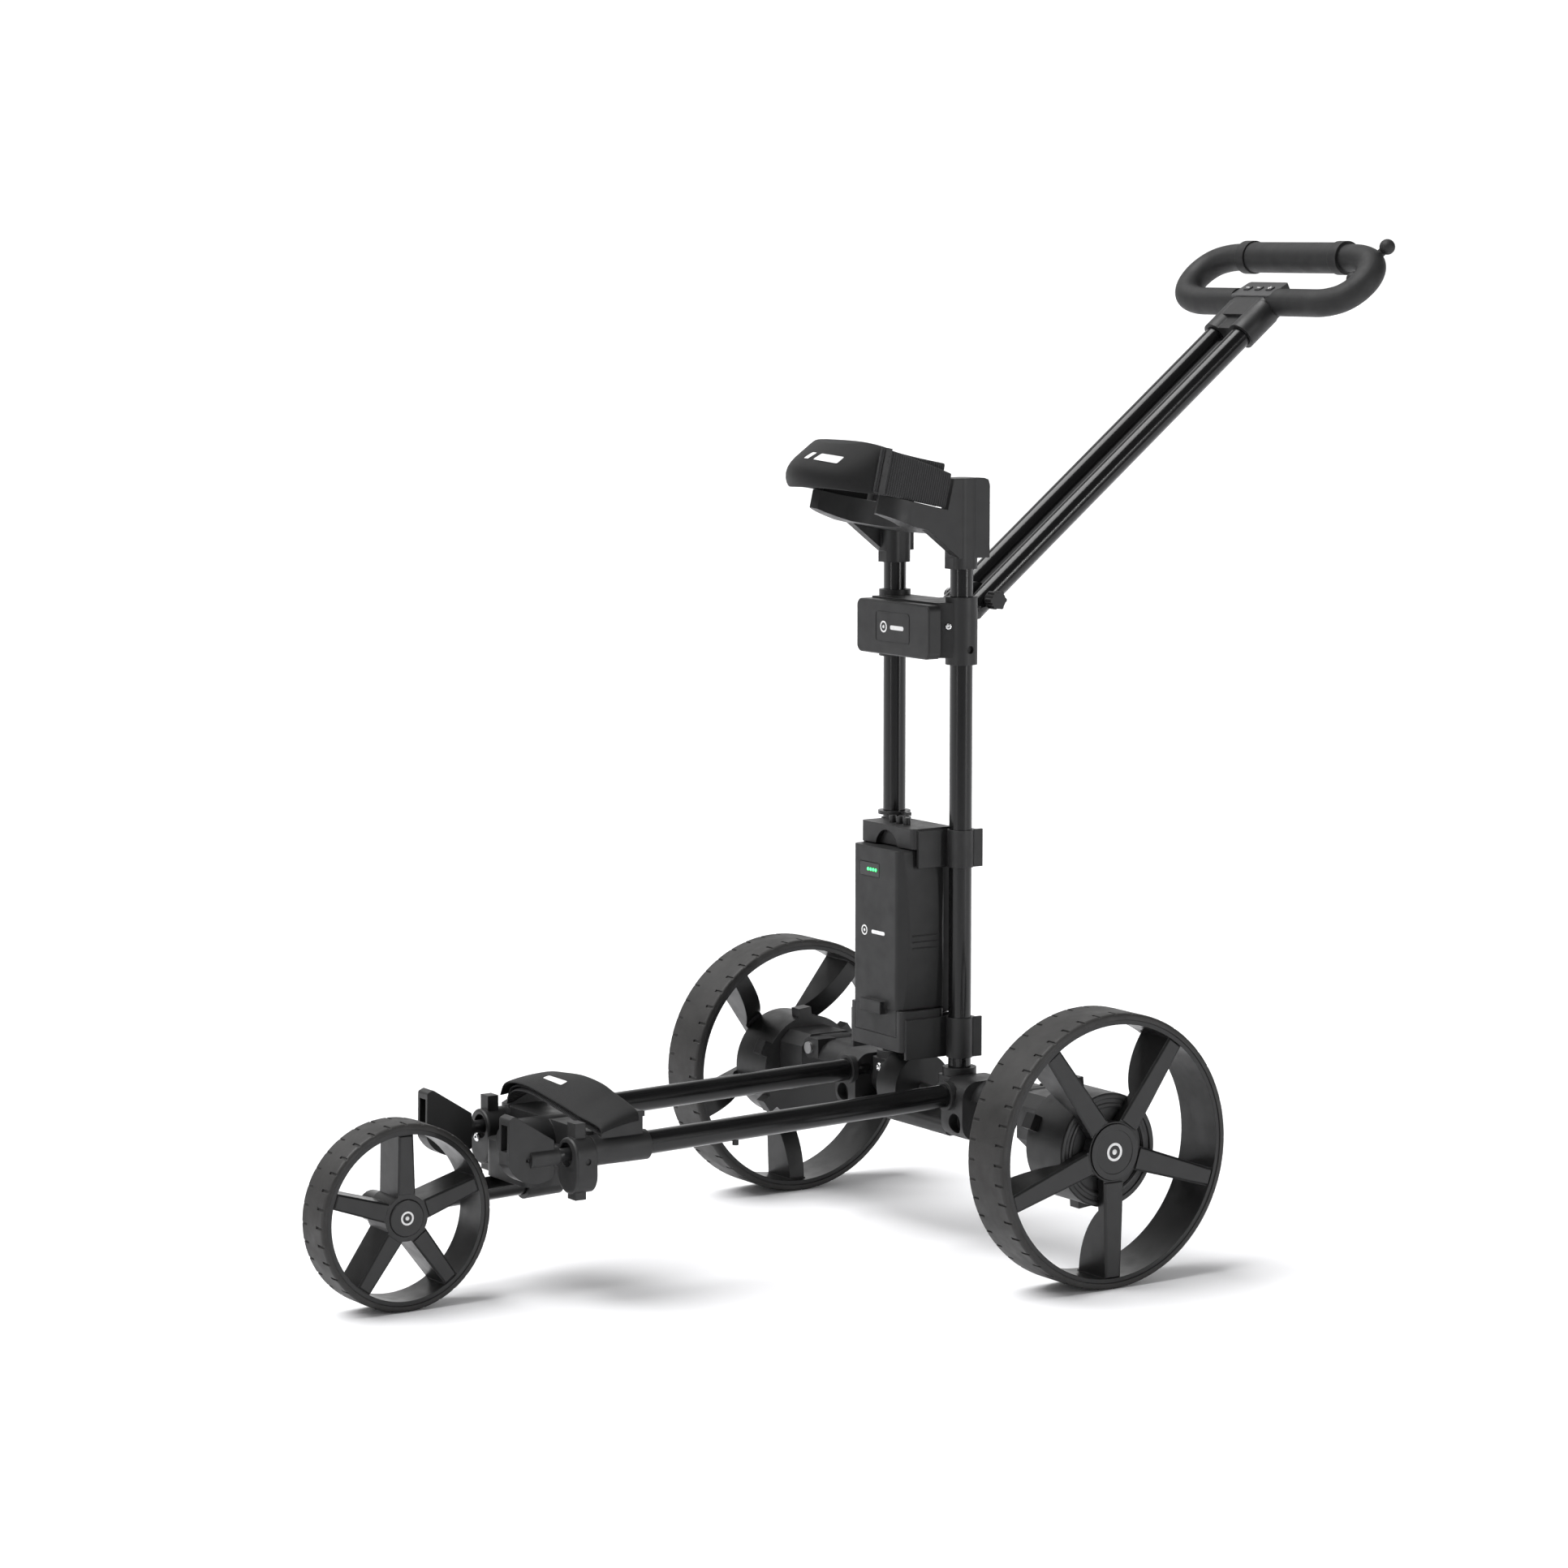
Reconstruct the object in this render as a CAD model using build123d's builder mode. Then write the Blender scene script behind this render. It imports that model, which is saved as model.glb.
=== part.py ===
"""Folding electric golf trolley: an assembly of separate pieces in one frame.

Millimetres, +Z up, -Y forwards, +X on the trolley's left-hand side.
The origin is at the bottom centre of the whole trolley's bounding box.
"""

from build123d import *
from math import cos, radians, sin
import os

os.makedirs("parts", exist_ok=True)

# ---------------------------------------------------------------- driving dimensions
AXLE_Y = 127.75  # rear axle, measured from the middle of the overall length
WHEELBASE = 685.0
TUBE_R = 12.7
TUBE_WALL = 1.6

REAR_WHEEL_R = 150.0
REAR_WHEEL_W = 63.3
HALF_TRACK = 336.0  # outer face of a rear wheel
FRONT_WHEEL_R = 100.5
FRONT_WHEEL_W = 48.0
FRONT_WHEEL_X = -10.0

UPRIGHT_X = 65.0
UPRIGHT_Y = AXLE_Y - 13.0
UPRIGHT_TOP = 842.0
FOLD_Z = 168.0
SHAFT_R = 5.0
RUN = 0.05  # radial play of a running fit
GAP = 0.4  # space kept between pieces that move past each other

LONGERON_X = 97.0
LONGERON_Z = 179.5
LONGERON_SLOPE = 1.47  # degrees down towards the front
LONGERON_LENGTH = 475.0
LONGERON_REAR = AXLE_Y - 32.0

BRACKET_IN = 85.5
BRACKET_OUT = 126.0
WHEEL_HINGE_X = 198.0
WHEEL_HINGE_Z = 187.0
KNUCKLE_R = 12.5

HANDLE_RISE = 38.4
HANDLE_X = 23.0
HANDLE_PIVOT = (0.0, AXLE_Y + 47.0, 721.0)
HANDLE_LENGTH = 500.0
GRIP_Y = AXLE_Y + 510.4
GRIP_Z = 1098.5
LOOP_RISE = 43.0

FRONT_AXLE_Y = AXLE_Y - WHEELBASE
ARM_X = -53.0
ARM_RISE = 2.0


# ---------------------------------------------------------------- shape helpers
def rod_x(r, x0, x1, y, z, mode=Mode.ADD):
    """A round bar along X."""
    with Locations(Location(((x0 + x1) / 2, y, z), (0, 90, 0))):
        Cylinder(r, abs(x1 - x0), mode=mode)


def rod_y(r, y0, y1, x, z, mode=Mode.ADD):
    """A round bar along Y."""
    with Locations(Location((x, (y0 + y1) / 2, z), (90, 0, 0))):
        Cylinder(r, abs(y1 - y0), mode=mode)


def rod_z(r, z0, z1, x, y, mode=Mode.ADD):
    """A round bar along Z."""
    with Locations((x, y, (z0 + z1) / 2)):
        Cylinder(r, abs(z1 - z0), mode=mode)


def block(x0, x1, y0, y1, z0, z1, mode=Mode.ADD):
    """A box given by its faces."""
    with Locations(((x0 + x1) / 2, (y0 + y1) / 2, (z0 + z1) / 2)):
        Box(abs(x1 - x0), abs(y1 - y0), abs(z1 - z0), mode=mode)


def side_plane(x):
    """The plane across the trolley at x: local x is +Y, local y is +Z, normal is +X."""
    return Plane(origin=(x, 0, 0), x_dir=(0, 1, 0), z_dir=(1, 0, 0))


def leaning_plane(origin, rise):
    """Local z runs rearwards and up at the given rise; local x stays +X."""
    lean = radians(rise)
    return Plane(origin=origin, x_dir=(1, 0, 0), z_dir=(0, cos(lean), sin(lean)))


SIDES = (("left", 1), ("right", -1))

# ================================================================ chassis
longeron_axis = leaning_plane((0, LONGERON_REAR, LONGERON_Z), LONGERON_SLOPE)
with BuildPart() as longerons:
    for x in (LONGERON_X, -LONGERON_X):
        with Locations(longeron_axis.offset(-LONGERON_LENGTH)):
            with Locations((x, 0, LONGERON_LENGTH / 2)):
                Cylinder(TUBE_R, LONGERON_LENGTH)
        rod_z(3.5, 154, 162, x, AXLE_Y - 330)
        with Locations(longeron_axis.offset(-LONGERON_LENGTH)):
            with Locations((x, 0, LONGERON_LENGTH / 2)):
                Cylinder(TUBE_R - TUBE_WALL, LONGERON_LENGTH, mode=Mode.SUBTRACT)
longerons.part.label = "longerons"
export_step(longerons.part, "parts/longerons.step")

# the bracket holds the longeron, the fold shaft and the wheel hinge
for name, s in SIDES:
    with BuildPart() as bracket:
        with BuildSketch(side_plane(s * BRACKET_IN)):
            with Locations((AXLE_Y - 14, 163.5)):
                RectangleRounded(76, 67, 20)
        extrude(amount=s * (BRACKET_OUT - BRACKET_IN))
        with BuildSketch(side_plane(s * BRACKET_OUT)):
            with Locations((AXLE_Y - 2, 163.5)):
                RectangleRounded(76, 67, 24)
            with Locations((AXLE_Y - 14, 130 + 23)):
                Rectangle(120, 46, mode=Mode.SUBTRACT)
        extrude(amount=s * (WHEEL_HINGE_X - BRACKET_OUT - 14))
        for y0, y1 in ((-40, -15.7), (13.7, 36)):
            rod_y(KNUCKLE_R, AXLE_Y + y0, AXLE_Y + y1, s * WHEEL_HINGE_X, WHEEL_HINGE_Z)
            block(
                s * (WHEEL_HINGE_X - 18),
                s * WHEEL_HINGE_X,
                AXLE_Y + y0,
                AXLE_Y + y1,
                176,
                199,
            )
        rod_y(4, AXLE_Y - 40, AXLE_Y + 36, s * WHEEL_HINGE_X, WHEEL_HINGE_Z, Mode.SUBTRACT)
        rod_y(16.5, AXLE_Y - 57, AXLE_Y - 50, s * LONGERON_X, 178.9)
        with Locations(longeron_axis.offset(-40)):
            with Locations((s * LONGERON_X, 0, 20)):
                Cylinder(TUBE_R, 40, mode=Mode.SUBTRACT)
        rod_y(11, AXLE_Y - 52, AXLE_Y - 40, s * 111, 149.5, Mode.SUBTRACT)
        rod_x(SHAFT_R, s * BRACKET_IN, s * (BRACKET_OUT - 6), UPRIGHT_Y, FOLD_Z, Mode.SUBTRACT)
    bracket.part.label = f"rear_bracket_{name}"
    export_step(bracket.part, f"parts/rear_bracket_{name}.step")

COVER_R = 38.0
COVER_X = (-44.0, -6.0)
with BuildPart() as cross_beam:
    with BuildSketch(side_plane(-BRACKET_IN)):
        with Locations((AXLE_Y - 15, 139)):
            RectangleRounded(62, 18, 7)
    extrude(amount=2 * BRACKET_IN)
    rod_x(COVER_R, *COVER_X, UPRIGHT_Y, FOLD_Z)
    block(-50, 50, AXLE_Y - 70, AXLE_Y + 50, 100, 131, Mode.SUBTRACT)
    rod_x(COVER_R - 5, COVER_X[0] + 4, COVER_X[0] + 30, UPRIGHT_Y, FOLD_Z, Mode.SUBTRACT)
    rod_x(SHAFT_R, *COVER_X, UPRIGHT_Y, FOLD_Z, Mode.SUBTRACT)
cross_beam.part.label = "cross_beam"
export_step(cross_beam.part, "parts/cross_beam.step")

with BuildPart() as fold_shaft:
    rod_x(SHAFT_R, -(BRACKET_OUT - 6), BRACKET_OUT - 6, UPRIGHT_Y, FOLD_Z)
fold_shaft.part.label = "fold_shaft"
export_step(fold_shaft.part, "parts/fold_shaft.step")

with BuildPart() as wheel_hinge_pins:
    for s in (1, -1):
        rod_y(4, AXLE_Y - 40, AXLE_Y + 36, s * WHEEL_HINGE_X, WHEEL_HINGE_Z)
        rod_y(7, AXLE_Y - 43, AXLE_Y - 40, s * WHEEL_HINGE_X, WHEEL_HINGE_Z)
wheel_hinge_pins.part.label = "wheel_hinge_pins"
export_step(wheel_hinge_pins.part, "parts/wheel_hinge_pins.step")

# ---------------------------------------------------------------- front end of the chassis
SLEEVE_REAR = AXLE_Y - 444.0
SLEEVE_FRONT = AXLE_Y - 513.0
SLEEVE_R = 16.2
LONGERON_END_Z = 166.8

with BuildPart() as front_sleeves:
    for s in (1, -1):
        rod_y(SLEEVE_R, SLEEVE_FRONT, SLEEVE_REAR, s * LONGERON_X, LONGERON_END_Z + 0.9)
        with BuildSketch(side_plane(s * 90)):
            Polygon(
                (AXLE_Y - 503, 178),
                (AXLE_Y - 452, 178),
                (AXLE_Y - 452, 206),
                (AXLE_Y - 458, 206),
                (AXLE_Y - 503, 186),
                align=None,
            )
        extrude(amount=s * 16)
        with Locations(longeron_axis.offset(-LONGERON_LENGTH)):
            with Locations((s * LONGERON_X, 0, LONGERON_LENGTH / 2)):
                Cylinder(TUBE_R, LONGERON_LENGTH, mode=Mode.SUBTRACT)
front_sleeves.part.label = "front_sleeves"
export_step(front_sleeves.part, "parts/front_sleeves.step")

# eccentric mount that carries the wing pivot at the end of each longeron
MOUNT_FRONT = AXLE_Y - 538.0
PIN_X = 92.0
WING_PIN_Z = LONGERON_END_Z - 1
with BuildPart() as wing_mounts:
    for s in (1, -1):
        with BuildSketch(Plane.XZ.offset(-SLEEVE_FRONT)):
            with Locations((s * 94, 154)):
                RectangleRounded(42, 60, 20.5)
        extrude(amount=SLEEVE_FRONT - MOUNT_FRONT)
    fillet(wing_mounts.edges().group_by(Axis.Y)[0], 3)
    for s in (1, -1):
        block(s * 93 - 8, s * 93 + 8, MOUNT_FRONT + 6, MOUNT_FRONT + 19, 178, 199)
        block(s * 93 - 8, s * 93 + 8, MOUNT_FRONT + 6, MOUNT_FRONT + 19, 117, 130)
        rod_y(13, MOUNT_FRONT, MOUNT_FRONT + 9, s * PIN_X, WING_PIN_Z, Mode.SUBTRACT)
        rod_y(7, MOUNT_FRONT, SLEEVE_FRONT, s * PIN_X, WING_PIN_Z, Mode.SUBTRACT)
        rod_x(3.4, s * 113, s * 118, MOUNT_FRONT + 14, 160, Mode.SUBTRACT)
wing_mounts.part.label = "wing_mounts"
export_step(wing_mounts.part, "parts/wing_mounts.step")

with BuildPart() as wing_pins:
    for s in (1, -1):
        rod_y(7, AXLE_Y - 588, SLEEVE_FRONT, s * PIN_X, WING_PIN_Z)
wing_pins.part.label = "wing_pins"
export_step(wing_pins.part, "parts/wing_pins.step")

for name, s in SIDES:
    with BuildPart() as wing:
        with BuildSketch(side_plane(s * 78)):
            with BuildLine():
                Polyline(
                    (AXLE_Y - 556, 146),
                    (AXLE_Y - 556, 184),
                    (AXLE_Y - 603, 214),
                    (AXLE_Y - 610, 211),
                    (AXLE_Y - 611, 162),
                )
                ThreePointArc(
                    (AXLE_Y - 611, 162),
                    (AXLE_Y - 592, 143),
                    (AXLE_Y - 556, 146),
                )
            make_face()
        extrude(amount=s * 21)
        fillet(wing.edges().filter_by(Axis.X), 3)
        block(s * 82, s * 95, AXLE_Y - 640, AXLE_Y - 594, 176, 204, Mode.SUBTRACT)
        rod_y(11, AXLE_Y - 585, AXLE_Y - 550, s * PIN_X, WING_PIN_Z)
        rod_y(7 + RUN, AXLE_Y - 590, AXLE_Y - 549, s * PIN_X, WING_PIN_Z, Mode.SUBTRACT)
    wing.part.label = f"wing_{name}"
    export_step(wing.part, f"parts/wing_{name}.step")

arm_axis = leaning_plane((ARM_X, FRONT_AXLE_Y, FRONT_WHEEL_R), ARM_RISE)
BRIDGE_FRONT = AXLE_Y - 556.0
with BuildPart() as front_bridge:
    with BuildSketch(Plane.XY.offset(150)):
        with Locations((0, AXLE_Y - 484)):
            RectangleRounded(2 * (LONGERON_X - 8), 46, 10)
    extrude(amount=36)
    with BuildSketch(Plane.XY.offset(122)):
        with Locations((-6, (BRIDGE_FRONT + AXLE_Y - 465) / 2)):
            RectangleRounded(100, AXLE_Y - 465 - BRIDGE_FRONT, 18)
    extrude(amount=40)
    rod_y(24, BRIDGE_FRONT + 10, AXLE_Y - 465, -6, 164)
    rod_y(16, BRIDGE_FRONT - 2, BRIDGE_FRONT + 10, -6, 164)
    block(-89, 89, AXLE_Y - 503, AXLE_Y - 465, 150, 170)
    with Locations(arm_axis.offset(176)):
        with Locations((0, 0, 22)):
            Cylinder(17.5, 44)
    block(ARM_X - 13, ARM_X + 13, AXLE_Y - 514, AXLE_Y - 474, 108, 126)
    with Locations(arm_axis.offset(170)):
        with Locations((0, 0, 25)):
            Cylinder(TUBE_R + RUN, 50, mode=Mode.SUBTRACT)
    for s in (1, -1):
        rod_y(SLEEVE_R, SLEEVE_FRONT, SLEEVE_REAR, s * LONGERON_X, LONGERON_END_Z + 0.9, Mode.SUBTRACT)
front_bridge.part.label = "front_bridge"
export_step(front_bridge.part, "parts/front_bridge.step")

# ================================================================ front wheel and its arm
with BuildPart() as front_arm:
    with Locations(arm_axis):
        with Locations((0, 0, 115)):
            Cylinder(TUBE_R, 205)
            Cylinder(TUBE_R - TUBE_WALL, 205, mode=Mode.SUBTRACT)
    rod_x(17, ARM_X - 12, ARM_X + 12, FRONT_AXLE_Y, FRONT_WHEEL_R)
    with Locations(arm_axis):
        with Locations((0, 0, 14)):
            Cylinder(TUBE_R, 20)
    rod_x(6, ARM_X - 14, ARM_X + 14, FRONT_AXLE_Y, FRONT_WHEEL_R, Mode.SUBTRACT)
front_arm.part.label = "front_arm"
export_step(front_arm.part, "parts/front_arm.step")

with BuildPart() as front_axle:
    rod_x(6, ARM_X - 18, FRONT_WHEEL_X + 14, FRONT_AXLE_Y, FRONT_WHEEL_R)
    rod_x(11, ARM_X + 13, ARM_X + 16, FRONT_AXLE_Y, FRONT_WHEEL_R)
    rod_x(3 + RUN, ARM_X - 18, ARM_X + 10, FRONT_AXLE_Y, FRONT_WHEEL_R, Mode.SUBTRACT)
front_axle.part.label = "front_axle"
export_step(front_axle.part, "parts/front_axle.step")

with BuildPart() as axle_release:
    rod_x(9, ARM_X - 26, ARM_X - 18 - 2.5, FRONT_AXLE_Y, FRONT_WHEEL_R)
    fillet(axle_release.edges().filter_by(GeomType.CIRCLE).group_by(Axis.X)[0], 3)
    rod_x(3, ARM_X - 21, ARM_X + 4, FRONT_AXLE_Y, FRONT_WHEEL_R)
axle_release.part.label = "axle_release"
export_step(axle_release.part, "parts/axle_release.step")

SPOKES = 5


def star(centre, hub_half, rim_half, r0, r1):
    """Five tapering arms round a centre, drawn into the current sketch; one arm points down."""
    for k in range(SPOKES):
        with Locations(Location((centre[0], centre[1]), 360 / SPOKES * k)):
            Polygon((-hub_half, -r0), (hub_half, -r0), (rim_half, -r1), (-rim_half, -r1), align=None)


def tread_notches(r, x_edge, inward, centre, count):
    """Cut a row of short grooves round one shoulder of a tyre."""
    cy, cz = centre
    for k in range(count):
        turn = 360 / count * k
        a = radians(turn)
        spot = Location((x_edge + inward * 7, cy + r * cos(a), cz + r * sin(a)), (turn, 0, 0))
        with Locations(spot):
            Box(14, 3, 3, mode=Mode.SUBTRACT)


FW = (FRONT_AXLE_Y, FRONT_WHEEL_R)
FW_IN = FRONT_WHEEL_X - FRONT_WHEEL_W / 2
FW_OUT = FRONT_WHEEL_X + FRONT_WHEEL_W / 2
with BuildPart() as front_tyre:
    rod_x(FRONT_WHEEL_R, FW_IN, FW_OUT, *FW)
    fillet(front_tyre.edges().filter_by(GeomType.CIRCLE), 4)
    rod_x(94, FW_IN, FW_OUT, *FW, Mode.SUBTRACT)
    for edge, inward in ((FW_OUT, -1), (FW_IN, 1)):
        tread_notches(FRONT_WHEEL_R, edge, inward, FW, 32)
front_tyre.part.label = "front_tyre"
export_step(front_tyre.part, "parts/front_tyre.step")

with BuildPart() as front_rim:
    rod_x(94, FW_IN + 1, FW_OUT - 1, *FW)
    rod_x(89, FW_IN + 1, FW_OUT - 1, *FW, Mode.SUBTRACT)
    with BuildSketch(side_plane(FW_IN + 6)):
        star(FW, -10.5, -8.5, -15, -91)
    extrude(amount=FRONT_WHEEL_W - 8)
    rod_x(25, FW_IN + 4, FW_OUT - 2, *FW)
    rod_x(6 + RUN, FW_IN, FW_OUT - 8, *FW, Mode.SUBTRACT)
    rod_x(20, FW_OUT - 5, FW_OUT, *FW, Mode.SUBTRACT)
    rod_x(8, FW_OUT - 10.5, FW_OUT, *FW, Mode.SUBTRACT)
front_rim.part.label = "front_rim"
export_step(front_rim.part, "parts/front_rim.step")

with BuildPart() as front_cap:
    rod_x(19.7, FW_OUT - 5, FW_OUT - 0.5, *FW)
    fillet(front_cap.edges().filter_by(GeomType.CIRCLE).group_by(Axis.X)[-1], 1.2)
front_cap.part.label = "front_cap"
export_step(front_cap.part, "parts/front_cap.step")

# ================================================================ rear wheels, motors and their hinged arms
DRUM_R = 62.0
DRUM_IN = 259.0
DRUM_OUT = 321.5
AXLE_R = 7.0
RIM_R = 143.0
WHEEL_IN = HALF_TRACK - REAR_WHEEL_W
RW = (AXLE_Y, REAR_WHEEL_R)

for name, s in SIDES:
    with BuildPart() as gearbox:
        rod_y(KNUCKLE_R, AXLE_Y - 15.3, AXLE_Y + 13.3, s * WHEEL_HINGE_X, WHEEL_HINGE_Z)
        block(s * WHEEL_HINGE_X, s * 214, AXLE_Y - 15.3, AXLE_Y + 13.3, 178, 198)
        with BuildSketch(side_plane(s * 213)):
            Polygon(
                (AXLE_Y - 41, 150),
                (AXLE_Y - 28, 138),
                (AXLE_Y + 24, 138),
                (AXLE_Y + 36, 150),
                (AXLE_Y + 36, 186),
                (AXLE_Y + 22, 199),
                (AXLE_Y - 28, 199),
                (AXLE_Y - 41, 186),
                align=None,
            )
        extrude(amount=s * (DRUM_IN - 213))
        rod_y(4 + RUN, AXLE_Y - 16, AXLE_Y + 14, s * WHEEL_HINGE_X, WHEEL_HINGE_Z, Mode.SUBTRACT)
        rod_x(24, s * 225, s * DRUM_IN, AXLE_Y, 162, Mode.SUBTRACT)
    gearbox.part.label = f"gearbox_{name}"
    export_step(gearbox.part, f"parts/gearbox_{name}.step")

    with BuildPart() as gear_train:
        for x0, x1, r in ((228, 240, 22), (242, 256, 14)):
            rod_x(r, s * x0, s * x1, AXLE_Y, 162)
        rod_x(4, s * 225, s * DRUM_IN, AXLE_Y, 162)
    gear_train.part.label = f"gear_train_{name}"
    export_step(gear_train.part, f"parts/gear_train_{name}.step")

    with BuildPart() as motor_drum:
        rod_x(DRUM_R, s * DRUM_IN, s * DRUM_OUT, *RW)
        for angle in (35, 95, 155, 215, 275, 335):
            spot = Location(
                (
                    s * (DRUM_IN + 8),
                    AXLE_Y + (DRUM_R + 3) * cos(radians(angle)),
                    REAR_WHEEL_R + (DRUM_R + 3) * sin(radians(angle)),
                ),
                (angle, 0, 0),
            )
            with Locations(spot):
                Box(16, 14, 17)
        rod_x(DRUM_R - 4, s * (DRUM_IN + 4), s * (DRUM_OUT - 4), *RW, Mode.SUBTRACT)
        rod_x(46, s * (DRUM_OUT - 1.5), s * DRUM_OUT, *RW, Mode.SUBTRACT)
        rod_x(AXLE_R + RUN, s * (DRUM_OUT - 5), s * DRUM_OUT, *RW, Mode.SUBTRACT)
    motor_drum.part.label = f"motor_drum_{name}"
    export_step(motor_drum.part, f"parts/motor_drum_{name}.step")

    with BuildPart() as motor:
        rod_x(50, s * (DRUM_IN + 4), s * (DRUM_OUT - 22), *RW)
        rod_x(30, s * (DRUM_OUT - 22), s * (DRUM_OUT - 12), *RW)
    motor.part.label = f"motor_{name}"
    export_step(motor.part, f"parts/motor_{name}.step")

    with BuildPart() as axle:
        rod_x(AXLE_R, s * (DRUM_OUT - 11), s * (HALF_TRACK - 5), *RW)
    axle.part.label = f"rear_axle_{name}"
    export_step(axle.part, f"parts/rear_axle_{name}.step")

    with BuildPart() as rim:
        rod_x(RIM_R, s * (WHEEL_IN + 1), s * (HALF_TRACK - 1), *RW)
        rod_x(RIM_R - 5, s * (WHEEL_IN + 1), s * (HALF_TRACK - 1), *RW, Mode.SUBTRACT)
        with BuildSketch(side_plane(s * (HALF_TRACK - 3))):
            star(RW, 13.5, 9.8, 20, RIM_R - 3)
        extrude(amount=-s * 50)
        with BuildSketch(Plane(origin=(0, AXLE_Y, REAR_WHEEL_R), x_dir=(s, 0, 0), z_dir=(0, -s, 0))):
            with BuildLine():
                Polyline(
                    (WHEEL_IN - 5, RIM_R - 6),
                    (WHEEL_IN - 5, 0),
                    (DRUM_OUT + 1, 0),
                    (DRUM_OUT + 1, 66),
                )
                ThreePointArc((DRUM_OUT + 1, 66), (300, 92), (WHEEL_IN + 13, RIM_R - 6))
                Line((WHEEL_IN + 13, RIM_R - 6), (WHEEL_IN - 5, RIM_R - 6))
            make_face()
        revolve(axis=Axis((0, AXLE_Y, REAR_WHEEL_R), (1, 0, 0)), mode=Mode.SUBTRACT)
        rod_x(33, s * (DRUM_OUT + 1), s * (HALF_TRACK - 2.5), *RW)
        rod_x(31, s * (HALF_TRACK - 5), s * HALF_TRACK, *RW, Mode.SUBTRACT)
        rod_x(AXLE_R, s * DRUM_OUT, s * HALF_TRACK, *RW, Mode.SUBTRACT)
    rim.part.label = f"rear_rim_{name}"
    export_step(rim.part, f"parts/rear_rim_{name}.step")

    with BuildPart() as tyre:
        rod_x(REAR_WHEEL_R, s * WHEEL_IN, s * HALF_TRACK, *RW)
        fillet(tyre.edges().filter_by(GeomType.CIRCLE), 4)
        rod_x(RIM_R, s * WHEEL_IN, s * HALF_TRACK, *RW, Mode.SUBTRACT)
        for edge, inward in ((HALF_TRACK, -1), (WHEEL_IN, 1)):
            tread_notches(REAR_WHEEL_R, s * edge, s * inward, RW, 44)
    tyre.part.label = f"rear_tyre_{name}"
    export_step(tyre.part, f"parts/rear_tyre_{name}.step")

    with BuildPart() as cap:
        rod_x(30.5, s * (HALF_TRACK - 5), s * (HALF_TRACK - 0.8), *RW)
        rod_x(24, s * (HALF_TRACK - 1.4), s * (HALF_TRACK - 0.8), *RW, Mode.SUBTRACT)
    cap.part.label = f"rear_cap_{name}"
    export_step(cap.part, f"parts/rear_cap_{name}.step")

# ================================================================ uprights and what is fixed to them
with BuildPart() as uprights:
    for x in (UPRIGHT_X, -UPRIGHT_X):
        rod_z(TUBE_R, 182, UPRIGHT_TOP, x, UPRIGHT_Y)
        rod_z(TUBE_R - TUBE_WALL, 182, UPRIGHT_TOP, x, UPRIGHT_Y, Mode.SUBTRACT)
uprights.part.label = "uprights"
export_step(uprights.part, "parts/uprights.step")

SHOE_HALF = 19.0
with BuildPart() as hinge_shoes:
    for s in (1, -1):
        x_in = s * (UPRIGHT_X - SHOE_HALF)
        x_out = s * (UPRIGHT_X + SHOE_HALF)
        rod_x(18, x_in, x_out, UPRIGHT_Y, FOLD_Z)
        with BuildSketch(Plane.XY.offset(FOLD_Z)):
            with Locations((s * UPRIGHT_X, UPRIGHT_Y)):
                RectangleRounded(2 * SHOE_HALF, 38, 8)
        extrude(amount=26)
        rod_z(19, 194, 203, s * UPRIGHT_X, UPRIGHT_Y)
        rod_x(SHAFT_R + RUN, x_in, x_out, UPRIGHT_Y, FOLD_Z, Mode.SUBTRACT)
        rod_z(TUBE_R, 182, 204, s * UPRIGHT_X, UPRIGHT_Y, Mode.SUBTRACT)
hinge_shoes.part.label = "hinge_shoes"
export_step(hinge_shoes.part, "parts/hinge_shoes.step")

# the dock clips round both uprights above and below the battery
DOCK_FRONT = AXLE_Y - 68.0
CLIP_R = 14.6
CHEEK_X = 50.5
SPINE_FRONT = AXLE_Y - 22.4


def clip_arms(front, z0, z1):
    """Sleeves round both uprights with a cheek running forwards beside the battery."""
    for s in (1, -1):
        rod_z(CLIP_R, z0, z1, s * UPRIGHT_X, UPRIGHT_Y)
        block(s * (UPRIGHT_X - 9), s * (UPRIGHT_X + 9), UPRIGHT_Y + 12, UPRIGHT_Y + 17, z0, z1)
        block(s * (UPRIGHT_X + 6), s * (UPRIGHT_X + 9), UPRIGHT_Y + 15, UPRIGHT_Y + 24, z0, z1)
        block(s * CHEEK_X, s * (CHEEK_X + 4), front, UPRIGHT_Y, z0, z1)
        block(s * 40, s * UPRIGHT_X, SPINE_FRONT, UPRIGHT_Y, z0, z1)


def clear_tubes(z0, z1):
    """Bore the two upright tubes through whatever surrounds them."""
    for x in (UPRIGHT_X, -UPRIGHT_X):
        rod_z(TUBE_R, z0, z1, x, UPRIGHT_Y, Mode.SUBTRACT)


with BuildPart() as battery_dock:
    clip_arms(AXLE_Y - 62, 428, 470)
    with BuildSketch(Plane.XY.offset(449)):
        with Locations((0, (DOCK_FRONT + SPINE_FRONT) / 2 + 4)):
            RectangleRounded(2 * CHEEK_X + 2, SPINE_FRONT - DOCK_FRONT + 8, 6)
    extrude(amount=23)
    block(-42, 42, SPINE_FRONT, UPRIGHT_Y + 2, 262, 450)
    rod_y(22, DOCK_FRONT - 6, DOCK_FRONT + 6, 0, 444, Mode.SUBTRACT)
    clear_tubes(420, 480)
battery_dock.part.label = "battery_dock"
export_step(battery_dock.part, "parts/battery_dock.step")

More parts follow.
